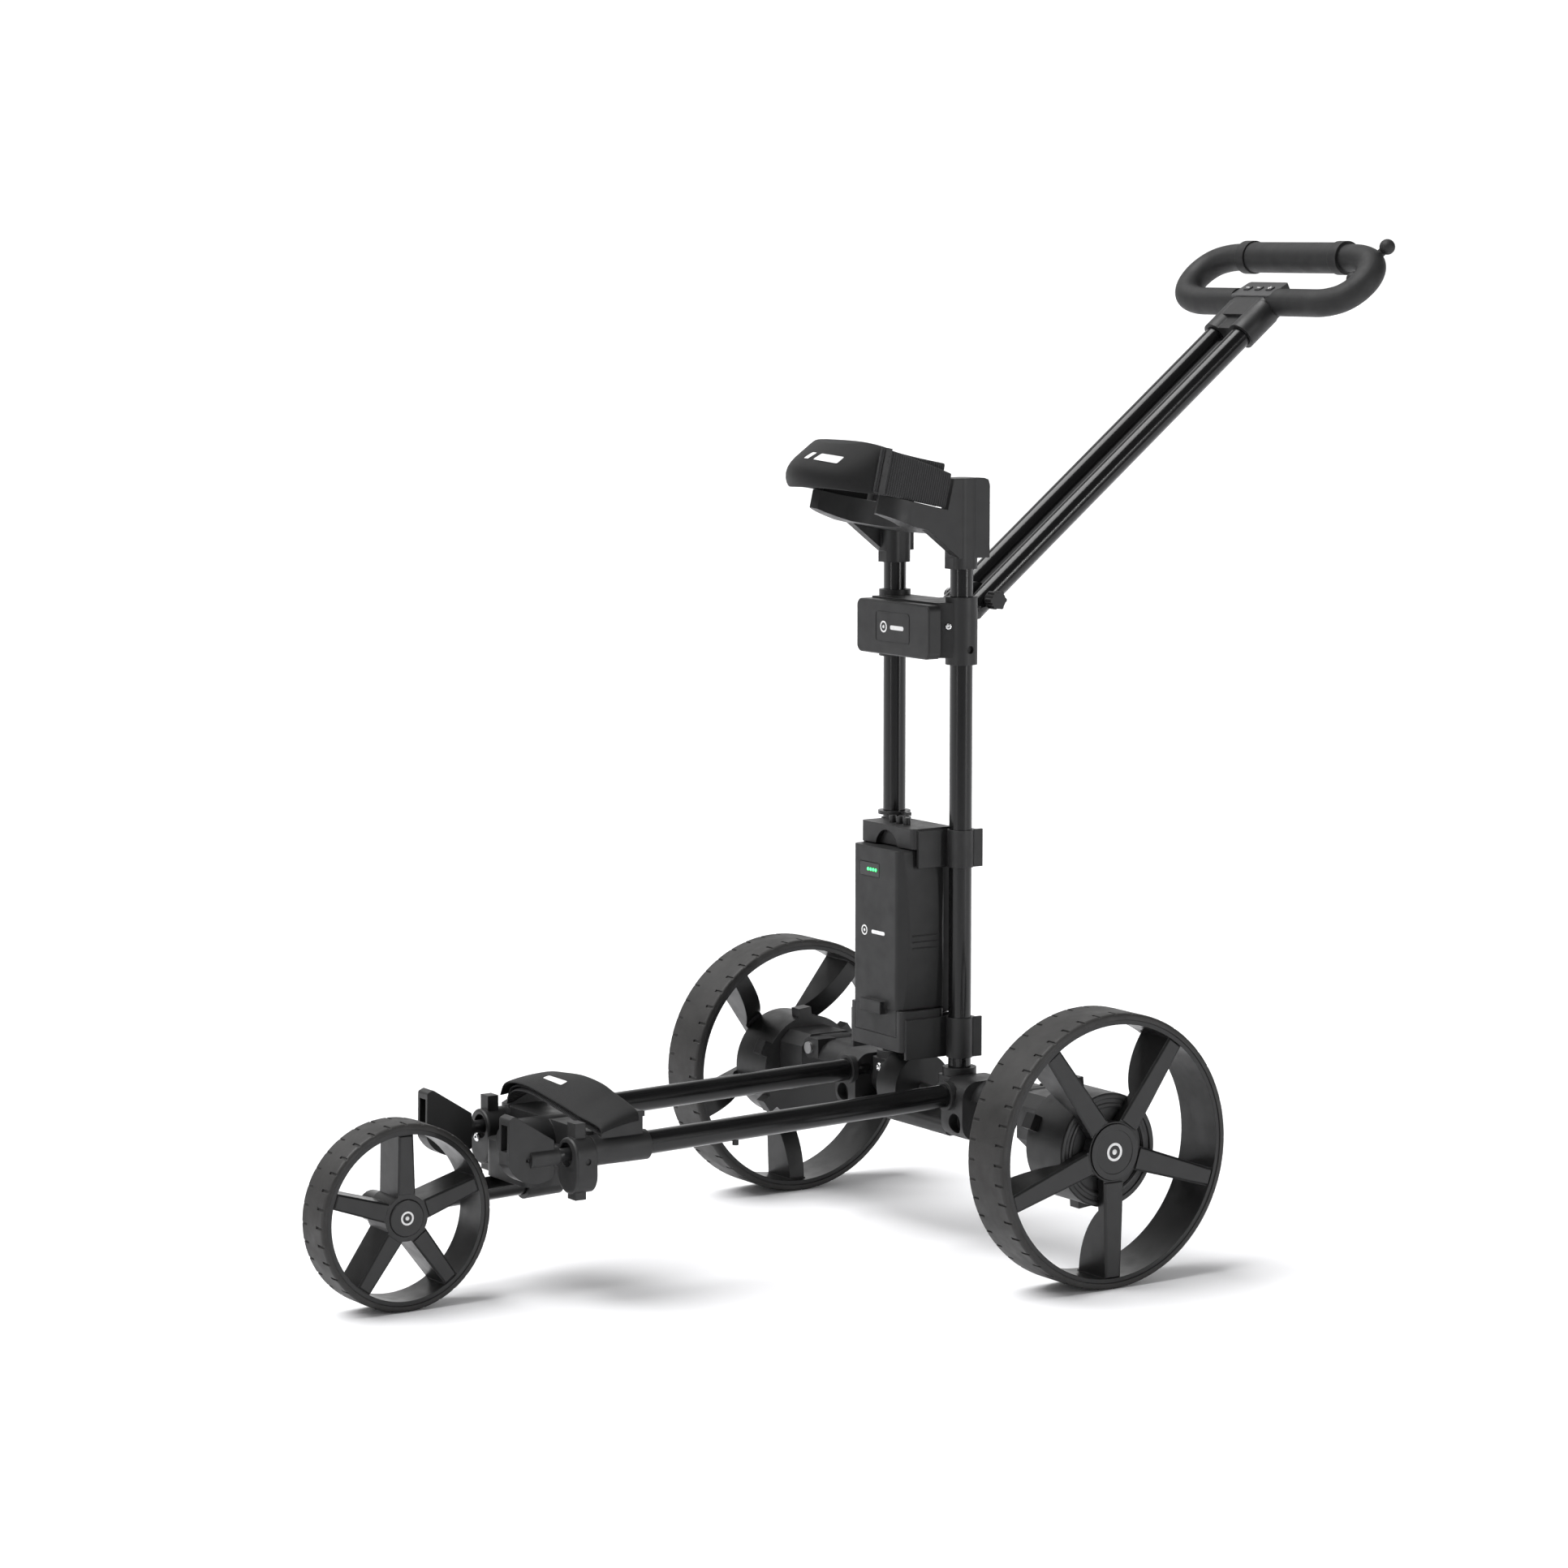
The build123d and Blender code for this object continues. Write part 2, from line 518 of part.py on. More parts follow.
with BuildPart() as battery_tray:
    clip_arms(AXLE_Y - 78, 214, 259)
    with BuildSketch(Plane.XY.offset(222)):
        with Locations((0, AXLE_Y - 53)):
            RectangleRounded(2 * CHEEK_X + 2, 58, 6)
    extrude(amount=46)
    block(-43, 43, SPINE_FRONT - 6, UPRIGHT_Y + 2, 216, 261)
    block(-41, 41, AXLE_Y - 83, AXLE_Y - 30, 238, 270, Mode.SUBTRACT)
    clear_tubes(205, 265)
battery_tray.part.label = "battery_tray"
export_step(battery_tray.part, "parts/battery_tray.step")

with BuildPart() as dock_terminals:
    for x in (-14, 0, 14):
        rod_z(4, 472, 480, x, AXLE_Y - 50)
    rod_z(18.5, 474, 478, -UPRIGHT_X, UPRIGHT_Y)
    block(-UPRIGHT_X + 16, -UPRIGHT_X + 30, UPRIGHT_Y - 3, UPRIGHT_Y + 3, 474, 478)
    rod_z(TUBE_R, 470, 480, -UPRIGHT_X, UPRIGHT_Y, Mode.SUBTRACT)
dock_terminals.part.label = "dock_terminals"
export_step(dock_terminals.part, "parts/dock_terminals.step")

HUB_BOTTOM = 654.0
HUB_TOP = 729.0
with BuildPart() as hub_box:
    for x in (UPRIGHT_X, -UPRIGHT_X):
        rod_z(17.8, HUB_BOTTOM, HUB_TOP, x, UPRIGHT_Y)
    with BuildSketch(Plane.XY.offset(662)):
        Polygon(
            (-62, UPRIGHT_Y),
            (-62, AXLE_Y - 46),
            (62, AXLE_Y - 46),
            (82, UPRIGHT_Y),
            align=None,
        )
    extrude(amount=61)
    with BuildSketch(Plane.XZ.offset(45 - AXLE_Y)):
        with Locations((0, 691)):
            RectangleRounded(142, 60, 8)
    extrude(amount=16)
    chamfer(hub_box.faces().sort_by(Axis.Y)[0].edges(), 1.5)
    block(-62, 62, UPRIGHT_Y - 10, UPRIGHT_Y + 14, 662, 723)
    block(-9, 9, UPRIGHT_Y + 10, HANDLE_PIVOT[1] - 8, 690, 722)
    rod_x(18, -9, 9, HANDLE_PIVOT[1], HANDLE_PIVOT[2])
    rod_x(SHAFT_R + RUN, -9, 9, HANDLE_PIVOT[1], HANDLE_PIVOT[2], Mode.SUBTRACT)
    rod_x(4.2, 78.2, 90, UPRIGHT_Y, 671, Mode.SUBTRACT)
    clear_tubes(650, 735)
hub_box.part.label = "hub_box"
export_step(hub_box.part, "parts/hub_box.step")

# ---------------------------------------------------------------- upper bag cradle
CRADLE_TILT = 13.0
cradle_plane = Plane(
    origin=(0, AXLE_Y - 36, 822),
    x_dir=(1, 0, 0),
    z_dir=(0, sin(radians(CRADLE_TILT)), cos(radians(CRADLE_TILT))),
)
with BuildPart() as cradle:
    for x in (UPRIGHT_X, -UPRIGHT_X):
        with BuildSketch(Plane.XY.offset(760)):
            with Locations((x, UPRIGHT_Y - 1)):
                RectangleRounded(32, 34, 13)
        extrude(amount=100)
    with BuildSketch(cradle_plane.offset(-24)):
        with BuildLine():
            Line((-80, 8), (-80, -54))
            ThreePointArc((-80, -54), (-76, -76), (-66, -90))
            Line((-66, -90), (-56, -86))
            ThreePointArc((-56, -86), (0, -22), (56, -86))
            Line((56, -86), (66, -90))
            ThreePointArc((66, -90), (76, -76), (80, -54))
            Line((80, -54), (80, 8))
            Line((80, 8), (-80, 8))
        make_face()
    extrude(amount=26.6)
    for sx in (1, -1):
        with BuildSketch(side_plane(sx * 80)):
            Polygon(
                (AXLE_Y - 34, 860),
                (AXLE_Y + 6, 860),
                (AXLE_Y + 12, 858),
                (AXLE_Y + 14, 852),
                (AXLE_Y + 14, 772),
                (AXLE_Y - 26, 772),
                (AXLE_Y - 70, 806),
                (AXLE_Y - 52, 822),
                (AXLE_Y - 43, 823.5),
                align=None,
            )
        extrude(amount=-sx * 13)
    with BuildSketch(side_plane(-90)):
        Polygon(
            (AXLE_Y - 30, 740),
            (AXLE_Y - 30, 772),
            (AXLE_Y - 62, 800),
            (AXLE_Y - 150, 833),
            (AXLE_Y - 150, 740),
            align=None,
        )
    extrude(amount=180, mode=Mode.SUBTRACT)
    clear_tubes(750, UPRIGHT_TOP)
cradle.part.label = "cradle"
export_step(cradle.part, "parts/cradle.step")

STRAP_HALF = 76.0
STRAP_REACH = 154.0
STRAP_END = -10.0
with BuildPart() as upper_strap:
    with BuildSketch(cradle_plane.offset(3)):
        with BuildLine():
            for half, reach in ((STRAP_HALF, STRAP_REACH), (STRAP_HALF - 3, STRAP_REACH - 3)):
                Line((-half, STRAP_END), (-half, half - reach))
                ThreePointArc((-half, half - reach), (0, -reach), (half, half - reach))
                Line((half, half - reach), (half, STRAP_END))
            Line((STRAP_HALF, STRAP_END), (STRAP_HALF - 3, STRAP_END))
            Line((-STRAP_HALF, STRAP_END), (3 - STRAP_HALF, STRAP_END))
        make_face()
    extrude(amount=46)
upper_strap.part.label = "upper_strap"
export_step(upper_strap.part, "parts/upper_strap.step")

with BuildPart() as lower_strap:
    with BuildSketch(Plane.XZ.offset(-(AXLE_Y - 458))):
        with BuildLine():
            Spline((104, 209.4), (60, 221), (0, 227), (-60, 225), (-104, 209.4))
            Line((-104, 209.4), (-101, 206.4))
            Spline((-101, 206.4), (-59, 221.8), (0, 223.8), (59, 217.8), (101, 206.4))
            Line((101, 206.4), (104, 209.4))
        make_face()
    extrude(amount=46)
lower_strap.part.label = "lower_strap"
export_step(lower_strap.part, "parts/lower_strap.step")

# the buckle sits on the bend of the strap, this many degrees past its straight side
BUCKLE_TURN = 13.7
BUCKLE_R = STRAP_HALF + 2.4
with BuildPart() as strap_buckle:
    with BuildSketch(cradle_plane.offset(3)):
        bend = radians(BUCKLE_TURN)
        spot = (BUCKLE_R * cos(bend), STRAP_HALF - STRAP_REACH - BUCKLE_R * sin(bend))
        with Locations(Location(spot, -BUCKLE_TURN)):
            Rectangle(4, 7)
    extrude(amount=50)
strap_buckle.part.label = "strap_buckle"
export_step(strap_buckle.part, "parts/strap_buckle.step")

# ================================================================ battery
BAT_FRONT = AXLE_Y - 83.0
BAT_REAR = AXLE_Y - 22.8
BAT_FOOT = 268.4
BAT_TOP = BAT_FOOT + 179.2
BAT_END_HALF = 46.0
with BuildPart() as battery_case:
    with BuildSketch(Plane.XY.offset(BAT_FOOT)):
        Polygon(
            (-50, BAT_REAR),
            (50, BAT_REAR),
            (50, AXLE_Y - 71),
            (41, BAT_FRONT),
            (-41, BAT_FRONT),
            (-50, AXLE_Y - 71),
            align=None,
        )
    extrude(amount=BAT_TOP - BAT_FOOT)
    fillet(battery_case.edges().filter_by(Axis.Z), 5)
    # both sides bow outwards between the ends
    with BuildSketch(Plane.XZ.offset(-BAT_REAR)):
        with BuildLine():
            ThreePointArc(
                (BAT_END_HALF, BAT_FOOT), (50, (BAT_FOOT + BAT_TOP) / 2), (BAT_END_HALF, BAT_TOP)
            )
            Line((BAT_END_HALF, BAT_TOP), (-BAT_END_HALF, BAT_TOP))
            ThreePointArc(
                (-BAT_END_HALF, BAT_TOP), (-50, (BAT_FOOT + BAT_TOP) / 2), (-BAT_END_HALF, BAT_FOOT)
            )
            Line((-BAT_END_HALF, BAT_FOOT), (BAT_END_HALF, BAT_FOOT))
        make_face()
    extrude(amount=BAT_REAR - BAT_FRONT, mode=Mode.INTERSECT)
    block(-40.5, 40.5, AXLE_Y - 82, AXLE_Y - 31, 238.4, 269)
    block(-20, 20, AXLE_Y - 90, AXLE_Y - 80, 262, 276)
    block(-42.5, 42.5, AXLE_Y - 75, BAT_REAR - 4, 273, 443, Mode.SUBTRACT)
    block(-30, 8, BAT_FRONT - 1, BAT_FRONT + 1.2, 414, 430, Mode.SUBTRACT)
battery_case.part.label = "battery_case"
export_step(battery_case.part, "parts/battery_case.step")

CELL_R = 9.2
with BuildPart() as battery_cells:
    for i in range(4):
        for j in range(2):
            for k in range(2):
                z0 = 277 + 70 * k
                rod_z(CELL_R, z0, z0 + 65, -30 + 20 * i, AXLE_Y - 62 + 20 * j)
battery_cells.part.label = "battery_cells"
export_step(battery_cells.part, "parts/battery_cells.step")

with BuildPart() as battery_display:
    block(-29.6, 7.6, BAT_FRONT - 0.2, BAT_FRONT + 1.2, 414.4, 429.6)
    for x in (-13, -8, -3, 2):
        rod_y(1.9, BAT_FRONT - 0.7, BAT_FRONT, x, 422)
battery_display.part.label = "battery_display"
export_step(battery_display.part, "parts/battery_display.step")

# ================================================================ handle
handle_plane = leaning_plane(HANDLE_PIVOT, HANDLE_RISE)
TUBE_START = -16.0
BOLT_OUT = 37.0
with BuildPart() as handle_tubes:
    with Locations(handle_plane):
        for x in (HANDLE_X, -HANDLE_X):
            with Locations((x, 0, (HANDLE_LENGTH + TUBE_START) / 2)):
                Cylinder(TUBE_R, HANDLE_LENGTH - TUBE_START)
                Cylinder(TUBE_R - TUBE_WALL, HANDLE_LENGTH - TUBE_START, mode=Mode.SUBTRACT)
    rod_x(SHAFT_R, -BOLT_OUT, BOLT_OUT, HANDLE_PIVOT[1], HANDLE_PIVOT[2], Mode.SUBTRACT)
handle_tubes.part.label = "handle_tubes"
export_step(handle_tubes.part, "parts/handle_tubes.step")

with BuildPart() as tube_plugs:
    with Locations(handle_plane):
        for x in (HANDLE_X, -HANDLE_X):
            with Locations((x, 0, 12)):
                Cylinder(TUBE_R - TUBE_WALL, 56)
            with Locations((x, 0, TUBE_START - 2)):
                Cylinder(TUBE_R, 4)
    rod_x(SHAFT_R, -BOLT_OUT, BOLT_OUT, HANDLE_PIVOT[1], HANDLE_PIVOT[2], Mode.SUBTRACT)
tube_plugs.part.label = "tube_plugs"
export_step(tube_plugs.part, "parts/tube_plugs.step")

with BuildPart() as handle_bolt:
    rod_x(SHAFT_R, -BOLT_OUT, 50, HANDLE_PIVOT[1], HANDLE_PIVOT[2])
    rod_x(9, -BOLT_OUT - 5, -BOLT_OUT, HANDLE_PIVOT[1], HANDLE_PIVOT[2])
handle_bolt.part.label = "handle_bolt"
export_step(handle_bolt.part, "parts/handle_bolt.step")

with BuildPart() as clamp_knob:
    rod_x(9.5, BOLT_OUT + GAP, BOLT_OUT + 15, HANDLE_PIVOT[1], HANDLE_PIVOT[2])
    for k in range(6):
        a = radians(60 * k)
        rod_x(
            2.6,
            BOLT_OUT + 3,
            BOLT_OUT + 15,
            HANDLE_PIVOT[1] + 8.6 * cos(a),
            HANDLE_PIVOT[2] + 8.6 * sin(a),
        )
    rod_x(SHAFT_R + RUN, BOLT_OUT, 50.4, HANDLE_PIVOT[1], HANDLE_PIVOT[2], Mode.SUBTRACT)
clamp_knob.part.label = "clamp_knob"
export_step(clamp_knob.part, "parts/clamp_knob.step")

# the loop lies in a plane that holds the grip and the lower bar
BAR_DROP = 75.0
loop_lean = radians(LOOP_RISE)
loop_plane = Plane(
    origin=(0, GRIP_Y, GRIP_Z),
    x_dir=(1, 0, 0),
    z_dir=(0, -sin(loop_lean), cos(loop_lean)),
)
BAR_Y = GRIP_Y - BAR_DROP * cos(loop_lean)
BAR_Z = GRIP_Z - BAR_DROP * sin(loop_lean)
GRIP_R = 18.0
GRIP_HALF = 77.0
BAR_R = 16.0
LOOP_HALF = 156.0

PANEL_RISE = 27.0
panel_lean = radians(PANEL_RISE)
panel_plane = Plane(
    origin=(0, BAR_Y + 1, BAR_Z + 12),
    x_dir=(1, 0, 0),
    z_dir=(0, -sin(panel_lean), cos(panel_lean)),
)
PANEL_SIZE = (72.0, 34.0)
PANEL_DEPTH = 14.0

# each end of the loop is three arcs that turn through half a circle between grip and bar
BLEND = 20.0
BLEND_R = 90.0
END_R = (BAR_DROP / 2 - BLEND_R * (1 - cos(radians(BLEND)))) / cos(radians(BLEND))
BEND_X = LOOP_HALF - BLEND_R * sin(radians(BLEND)) - END_R * (1 - sin(radians(BLEND)))

# clamp screw with a ball at each end, through the left arm of the loop
SCREW_R = 5.0
SCREW_REACH = 27.0
screw_plane = Plane(origin=(139, GRIP_Y - 6, GRIP_Z - 5.5), z_dir=(32, 18, 34))

with BuildPart() as handle_loop:
    with BuildLine(loop_plane) as loop_path:
        for s in (1, -1):
            Line((s * (GRIP_HALF + 9), 0), (s * BEND_X, 0))
            upper = JernArc((s * BEND_X, 0), (s, 0), BLEND_R, -s * BLEND)
            end = JernArc(upper @ 1, upper % 1, END_R, -s * (180 - 2 * BLEND))
            JernArc(end @ 1, end % 1, BLEND_R, -s * BLEND)
        Line((BEND_X, -BAR_DROP), (-BEND_X, -BAR_DROP))
    with BuildSketch(Plane(origin=(GRIP_HALF + 9, GRIP_Y, GRIP_Z), z_dir=(1, 0, 0))):
        Circle(BAR_R)
    sweep()
    for s in (1, -1):
        rod_x(19.6, s * GRIP_HALF, s * (GRIP_HALF + 15), GRIP_Y, GRIP_Z)
    rod_x(9, -GRIP_HALF, GRIP_HALF, GRIP_Y, GRIP_Z)
    with Locations(screw_plane):
        Cylinder(SCREW_R + RUN, 2 * SCREW_REACH, mode=Mode.SUBTRACT)
    with BuildSketch(panel_plane):
        RectangleRounded(*PANEL_SIZE, 5)
    extrude(amount=12, mode=Mode.SUBTRACT)
handle_loop.part.label = "handle_loop"
export_step(handle_loop.part, "parts/handle_loop.step")

with BuildPart() as grip:
    rod_x(GRIP_R, -GRIP_HALF + 0.3, GRIP_HALF - 0.3, GRIP_Y, GRIP_Z)
    fillet(grip.edges().filter_by(GeomType.CIRCLE), 1)
    rod_x(9, -GRIP_HALF, GRIP_HALF, GRIP_Y, GRIP_Z, Mode.SUBTRACT)
grip.part.label = "grip"
export_step(grip.part, "parts/grip.step")

NECK_START = 463.0
with BuildPart() as handle_neck:
    with BuildSketch(handle_plane.offset(NECK_START)):
        with Locations((HANDLE_X, 0), (-HANDLE_X, 0)):
            Circle(17)
        Rectangle(2 * HANDLE_X, 24)
    extrude(amount=46)
    with BuildSketch(handle_plane.offset(NECK_START + 20)):
        RectangleRounded(70, 33, 12)
    extrude(amount=40)
    with Locations(handle_plane):
        for x in (HANDLE_X, -HANDLE_X):
            with Locations((x, 0, (NECK_START + HANDLE_LENGTH) / 2)):
                Cylinder(TUBE_R, HANDLE_LENGTH - NECK_START, mode=Mode.SUBTRACT)
    rod_x(BAR_R, -60, 60, BAR_Y, BAR_Z, Mode.SUBTRACT)
    with BuildSketch(panel_plane.offset(-PANEL_DEPTH)):
        RectangleRounded(*PANEL_SIZE, 5)
    extrude(amount=40, mode=Mode.SUBTRACT)
handle_neck.part.label = "handle_neck"
export_step(handle_neck.part, "parts/handle_neck.step")

BUTTON_X = (-20.0, 0.0, 20.0)
with BuildPart() as control_panel:
    with BuildSketch(panel_plane.offset(-PANEL_DEPTH)):
        RectangleRounded(*PANEL_SIZE, 5)
    extrude(amount=PANEL_DEPTH)
    rod_x(BAR_R, -60, 60, BAR_Y, BAR_Z, Mode.SUBTRACT)
    with BuildSketch(panel_plane):
        RectangleRounded(*PANEL_SIZE, 5)
    extrude(amount=4)
    chamfer(control_panel.edges().group_by(Axis.Z)[-1], 0.8)
    with BuildSketch(panel_plane.offset(1)):
        with Locations(*[(x, 0) for x in BUTTON_X]):
            RectangleRounded(12, 9, 3)
    extrude(amount=4, mode=Mode.SUBTRACT)
control_panel.part.label = "control_panel"
export_step(control_panel.part, "parts/control_panel.step")

for x, name in zip(BUTTON_X, ("slower", "power", "faster")):
    with BuildPart() as button:
        with BuildSketch(panel_plane.offset(2.6)):
            with Locations((x, 0)):
                RectangleRounded(11.2, 8.2, 2.6)
        extrude(amount=2.8)
    button.part.label = f"button_{name}"
    export_step(button.part, f"parts/button_{name}.step")

with BuildPart() as accessory_screw:
    with Locations(screw_plane):
        Cylinder(SCREW_R, 2 * SCREW_REACH)
        with Locations((0, 0, SCREW_REACH), (0, 0, -SCREW_REACH)):
            Sphere(9)
accessory_screw.part.label = "accessory_screw"
export_step(accessory_screw.part, "parts/accessory_screw.step")
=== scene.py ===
"""Looks of the folding electric golf trolley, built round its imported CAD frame."""

from math import cos, pi, radians, sin

import bmesh
import bpy
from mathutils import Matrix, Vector


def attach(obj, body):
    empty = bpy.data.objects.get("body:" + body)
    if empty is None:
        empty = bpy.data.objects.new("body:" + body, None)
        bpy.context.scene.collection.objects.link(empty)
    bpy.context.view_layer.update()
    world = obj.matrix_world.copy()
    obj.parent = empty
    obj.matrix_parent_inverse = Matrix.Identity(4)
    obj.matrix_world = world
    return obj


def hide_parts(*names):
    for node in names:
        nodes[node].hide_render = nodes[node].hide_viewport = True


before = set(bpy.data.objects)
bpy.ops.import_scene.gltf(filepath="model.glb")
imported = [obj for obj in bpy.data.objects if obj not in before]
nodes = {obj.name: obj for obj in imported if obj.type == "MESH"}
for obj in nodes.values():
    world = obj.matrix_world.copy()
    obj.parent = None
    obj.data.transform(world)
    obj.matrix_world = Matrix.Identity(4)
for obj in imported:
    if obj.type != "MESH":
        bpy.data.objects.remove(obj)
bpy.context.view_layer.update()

# sizes repeated from the CAD, in metres
AXLE_Y = 0.12775
HALF_TRACK = 0.336
REAR_R = 0.150
RIM_R = 0.143
DRUM_OUT = 0.3215
FRONT_Y = AXLE_Y - 0.685
FRONT_R = 0.1005
FRONT_OUT = 0.014
RIM_FACE = HALF_TRACK - 0.003
CAP_FACE = HALF_TRACK - 0.0014
FRONT_RIM_FACE = FRONT_OUT - 0.002
FRONT_CAP_FACE = FRONT_OUT - 0.0005
BATTERY_FRONT = AXLE_Y - 0.083
HUB_FRONT = AXLE_Y - 0.061
GRIP = Vector((0, AXLE_Y + 0.5104, 1.0985))
LOOP_RISE = radians(43)
CRADLE_TILT = radians(13)
CRADLE_ORIGIN = Vector((0, AXLE_Y - 0.036, 0.822))
CRADLE_UP = Vector((0, sin(CRADLE_TILT), cos(CRADLE_TILT)))
CRADLE_FORE = Vector((0, -cos(CRADLE_TILT), sin(CRADLE_TILT)))

# the upper strap: half its span across the bend, how far forwards it reaches, how far behind the
# cradle's origin a whole turn ends, its bottom edge's height over that origin, and its width
STRAP_HALF = 0.0755
STRAP_REACH = 0.154
STRAP_TAIL = 0.004
STRAP_FOOT = 0.003
STRAP_WIDTH = 0.049

# the trolley's own left and right: a print on its front reads towards its left
SIDES = (("left", 1), ("right", -1))
AHEAD = Vector((0, -1, 0))
LEFTWARDS = Vector((1, 0, 0))
UP = Vector((0, 0, 1))
# how far a raised detail is let into the face that it stands on
SUNK = 0.0004
# the wave texture's pitch at a scale of 1
WAVE_PITCH = 0.314


# ---------------------------------------------------------------- materials
def new_material(name):
    """An empty node material with its shader and output."""
    material = bpy.data.materials.new(name)
    material.use_nodes = True
    tree = material.node_tree
    tree.nodes.clear()
    output = tree.nodes.new("ShaderNodeOutputMaterial")
    shader = tree.nodes.new("ShaderNodeBsdfPrincipled")
    tree.links.new(shader.outputs[0], output.inputs[0])
    return material, tree, shader


def noise(tree, scale, detail=4.0, stretch=None, source="Object"):
    """A noise pattern in object space; stretch squeezes it along an axis."""
    coords = tree.nodes.new("ShaderNodeTexCoord")
    texture = tree.nodes.new("ShaderNodeTexNoise")
    texture.inputs["Scale"].default_value = scale
    texture.inputs["Detail"].default_value = detail
    if stretch is None:
        tree.links.new(coords.outputs[source], texture.inputs["Vector"])
    else:
        mapping = tree.nodes.new("ShaderNodeMapping")
        mapping.inputs["Scale"].default_value = stretch
        tree.links.new(coords.outputs[source], mapping.inputs["Vector"])
        tree.links.new(mapping.outputs[0], texture.inputs["Vector"])
    return texture


def blotches(tree, shader, texture, dark, light):
    """Colour that drifts between two tones with the pattern."""
    ramp = tree.nodes.new("ShaderNodeValToRGB")
    ramp.color_ramp.elements[0].position = 0.3
    ramp.color_ramp.elements[1].position = 0.7
    ramp.color_ramp.elements[0].color = (*dark, 1)
    ramp.color_ramp.elements[1].color = (*light, 1)
    tree.links.new(texture.outputs[0], ramp.inputs[0])
    tree.links.new(ramp.outputs[0], shader.inputs["Base Color"])


def spread(tree, texture, socket, low, high):
    """Drives a socket between two values with the pattern."""
    span = tree.nodes.new("ShaderNodeMapRange")
    span.inputs["From Min"].default_value = 0.3
    span.inputs["From Max"].default_value = 0.7
    span.inputs["To Min"].default_value = low
    span.inputs["To Max"].default_value = high
    tree.links.new(texture.outputs[0], span.inputs["Value"])
    tree.links.new(span.outputs[0], socket)


def relief(tree, shader, height, distance, strength, edge=None):
    """Bump from a height, over edges rounded by the given radius."""
    bump = tree.nodes.new("ShaderNodeBump")
    bump.inputs["Distance"].default_value = distance
    bump.inputs["Strength"].default_value = strength
    tree.links.new(height, bump.inputs["Height"])
    if edge:
        rounding = tree.nodes.new("ShaderNodeBevel")
        rounding.samples = 4
        rounding.inputs["Radius"].default_value = edge
        tree.links.new(rounding.outputs[0], bump.inputs["Normal"])
    tree.links.new(bump.outputs[0], shader.inputs["Normal"])


def moulded(name, tone, rough, grain=0.35, edge=0.0012):
    """Moulded plastic with a fine spark-eroded grain and rounded edges."""
    material, tree, shader = new_material(name)
    low = (tone * 0.86, tone * 0.86, tone * 0.88)
    high = (tone * 1.14, tone * 1.14, tone * 1.17)
    blotches(tree, shader, noise(tree, 14, 5), low, high)
    spread(tree, noise(tree, 60, 3), shader.inputs["Roughness"], rough - 0.05, rough + 0.07)
    shader.inputs["Specular IOR Level"].default_value = 0.4
    relief(tree, shader, noise(tree, 1500, 2).outputs[0], 0.00015, grain, edge)
    return material


def tube_finish(name, along):
    """Satin black tube with faint drawing lines along it."""
    material, tree, shader = new_material(name)
    blotches(tree, shader, noise(tree, 9, 3), (0.0035, 0.0035, 0.0037), (0.006, 0.006, 0.0063))
    lines = noise(tree, 420, 3, stretch=along)
    spread(tree, lines, shader.inputs["Roughness"], 0.17, 0.24)
    shader.inputs["Specular IOR Level"].default_value = 0.32
    shader.inputs["Coat Weight"].default_value = 0.1
    shader.inputs["Coat Roughness"].default_value = 0.15
    relief(tree, shader, lines.outputs[0], 0.00003, 0.08)
    return material


def metal(name, tone, rough):
    """Turned or brushed bare metal."""
    material, tree, shader = new_material(name)
    shader.inputs["Metallic"].default_value = 1.0
    blotches(tree, shader, noise(tree, 40, 3), (tone * 0.85,) * 3, (tone, tone, tone * 1.01))
    lines = noise(tree, 300, 4, stretch=(1, 1, 0.15))
    spread(tree, lines, shader.inputs["Roughness"], rough - 0.06, rough + 0.1)
    relief(tree, shader, lines.outputs[0], 0.00005, 0.3, 0.0004)
    return material


def tread_rubber(name):
    """Slightly brown, dusty tyre rubber."""
    material, tree, shader = new_material(name)
    blotches(tree, shader, noise(tree, 22, 8), (0.010, 0.0095, 0.009), (0.020, 0.0187, 0.018))
    spread(tree, noise(tree, 45, 5), shader.inputs["Roughness"], 0.5, 0.68)
    relief(tree, shader, noise(tree, 700, 6).outputs[0], 0.0003, 0.35, 0.0016)
    return material


def uv_wave(tree, direction, pitch):
    """A wave of a given pitch; a strap's UV map is in metres, u along it and v across it."""
    coords = tree.nodes.new("ShaderNodeTexCoord")
    wave = tree.nodes.new("ShaderNodeTexWave")
    wave.bands_direction = direction
    wave.inputs["Scale"].default_value = WAVE_PITCH / pitch
    tree.links.new(coords.outputs["UV"], wave.inputs["Vector"])
    return wave


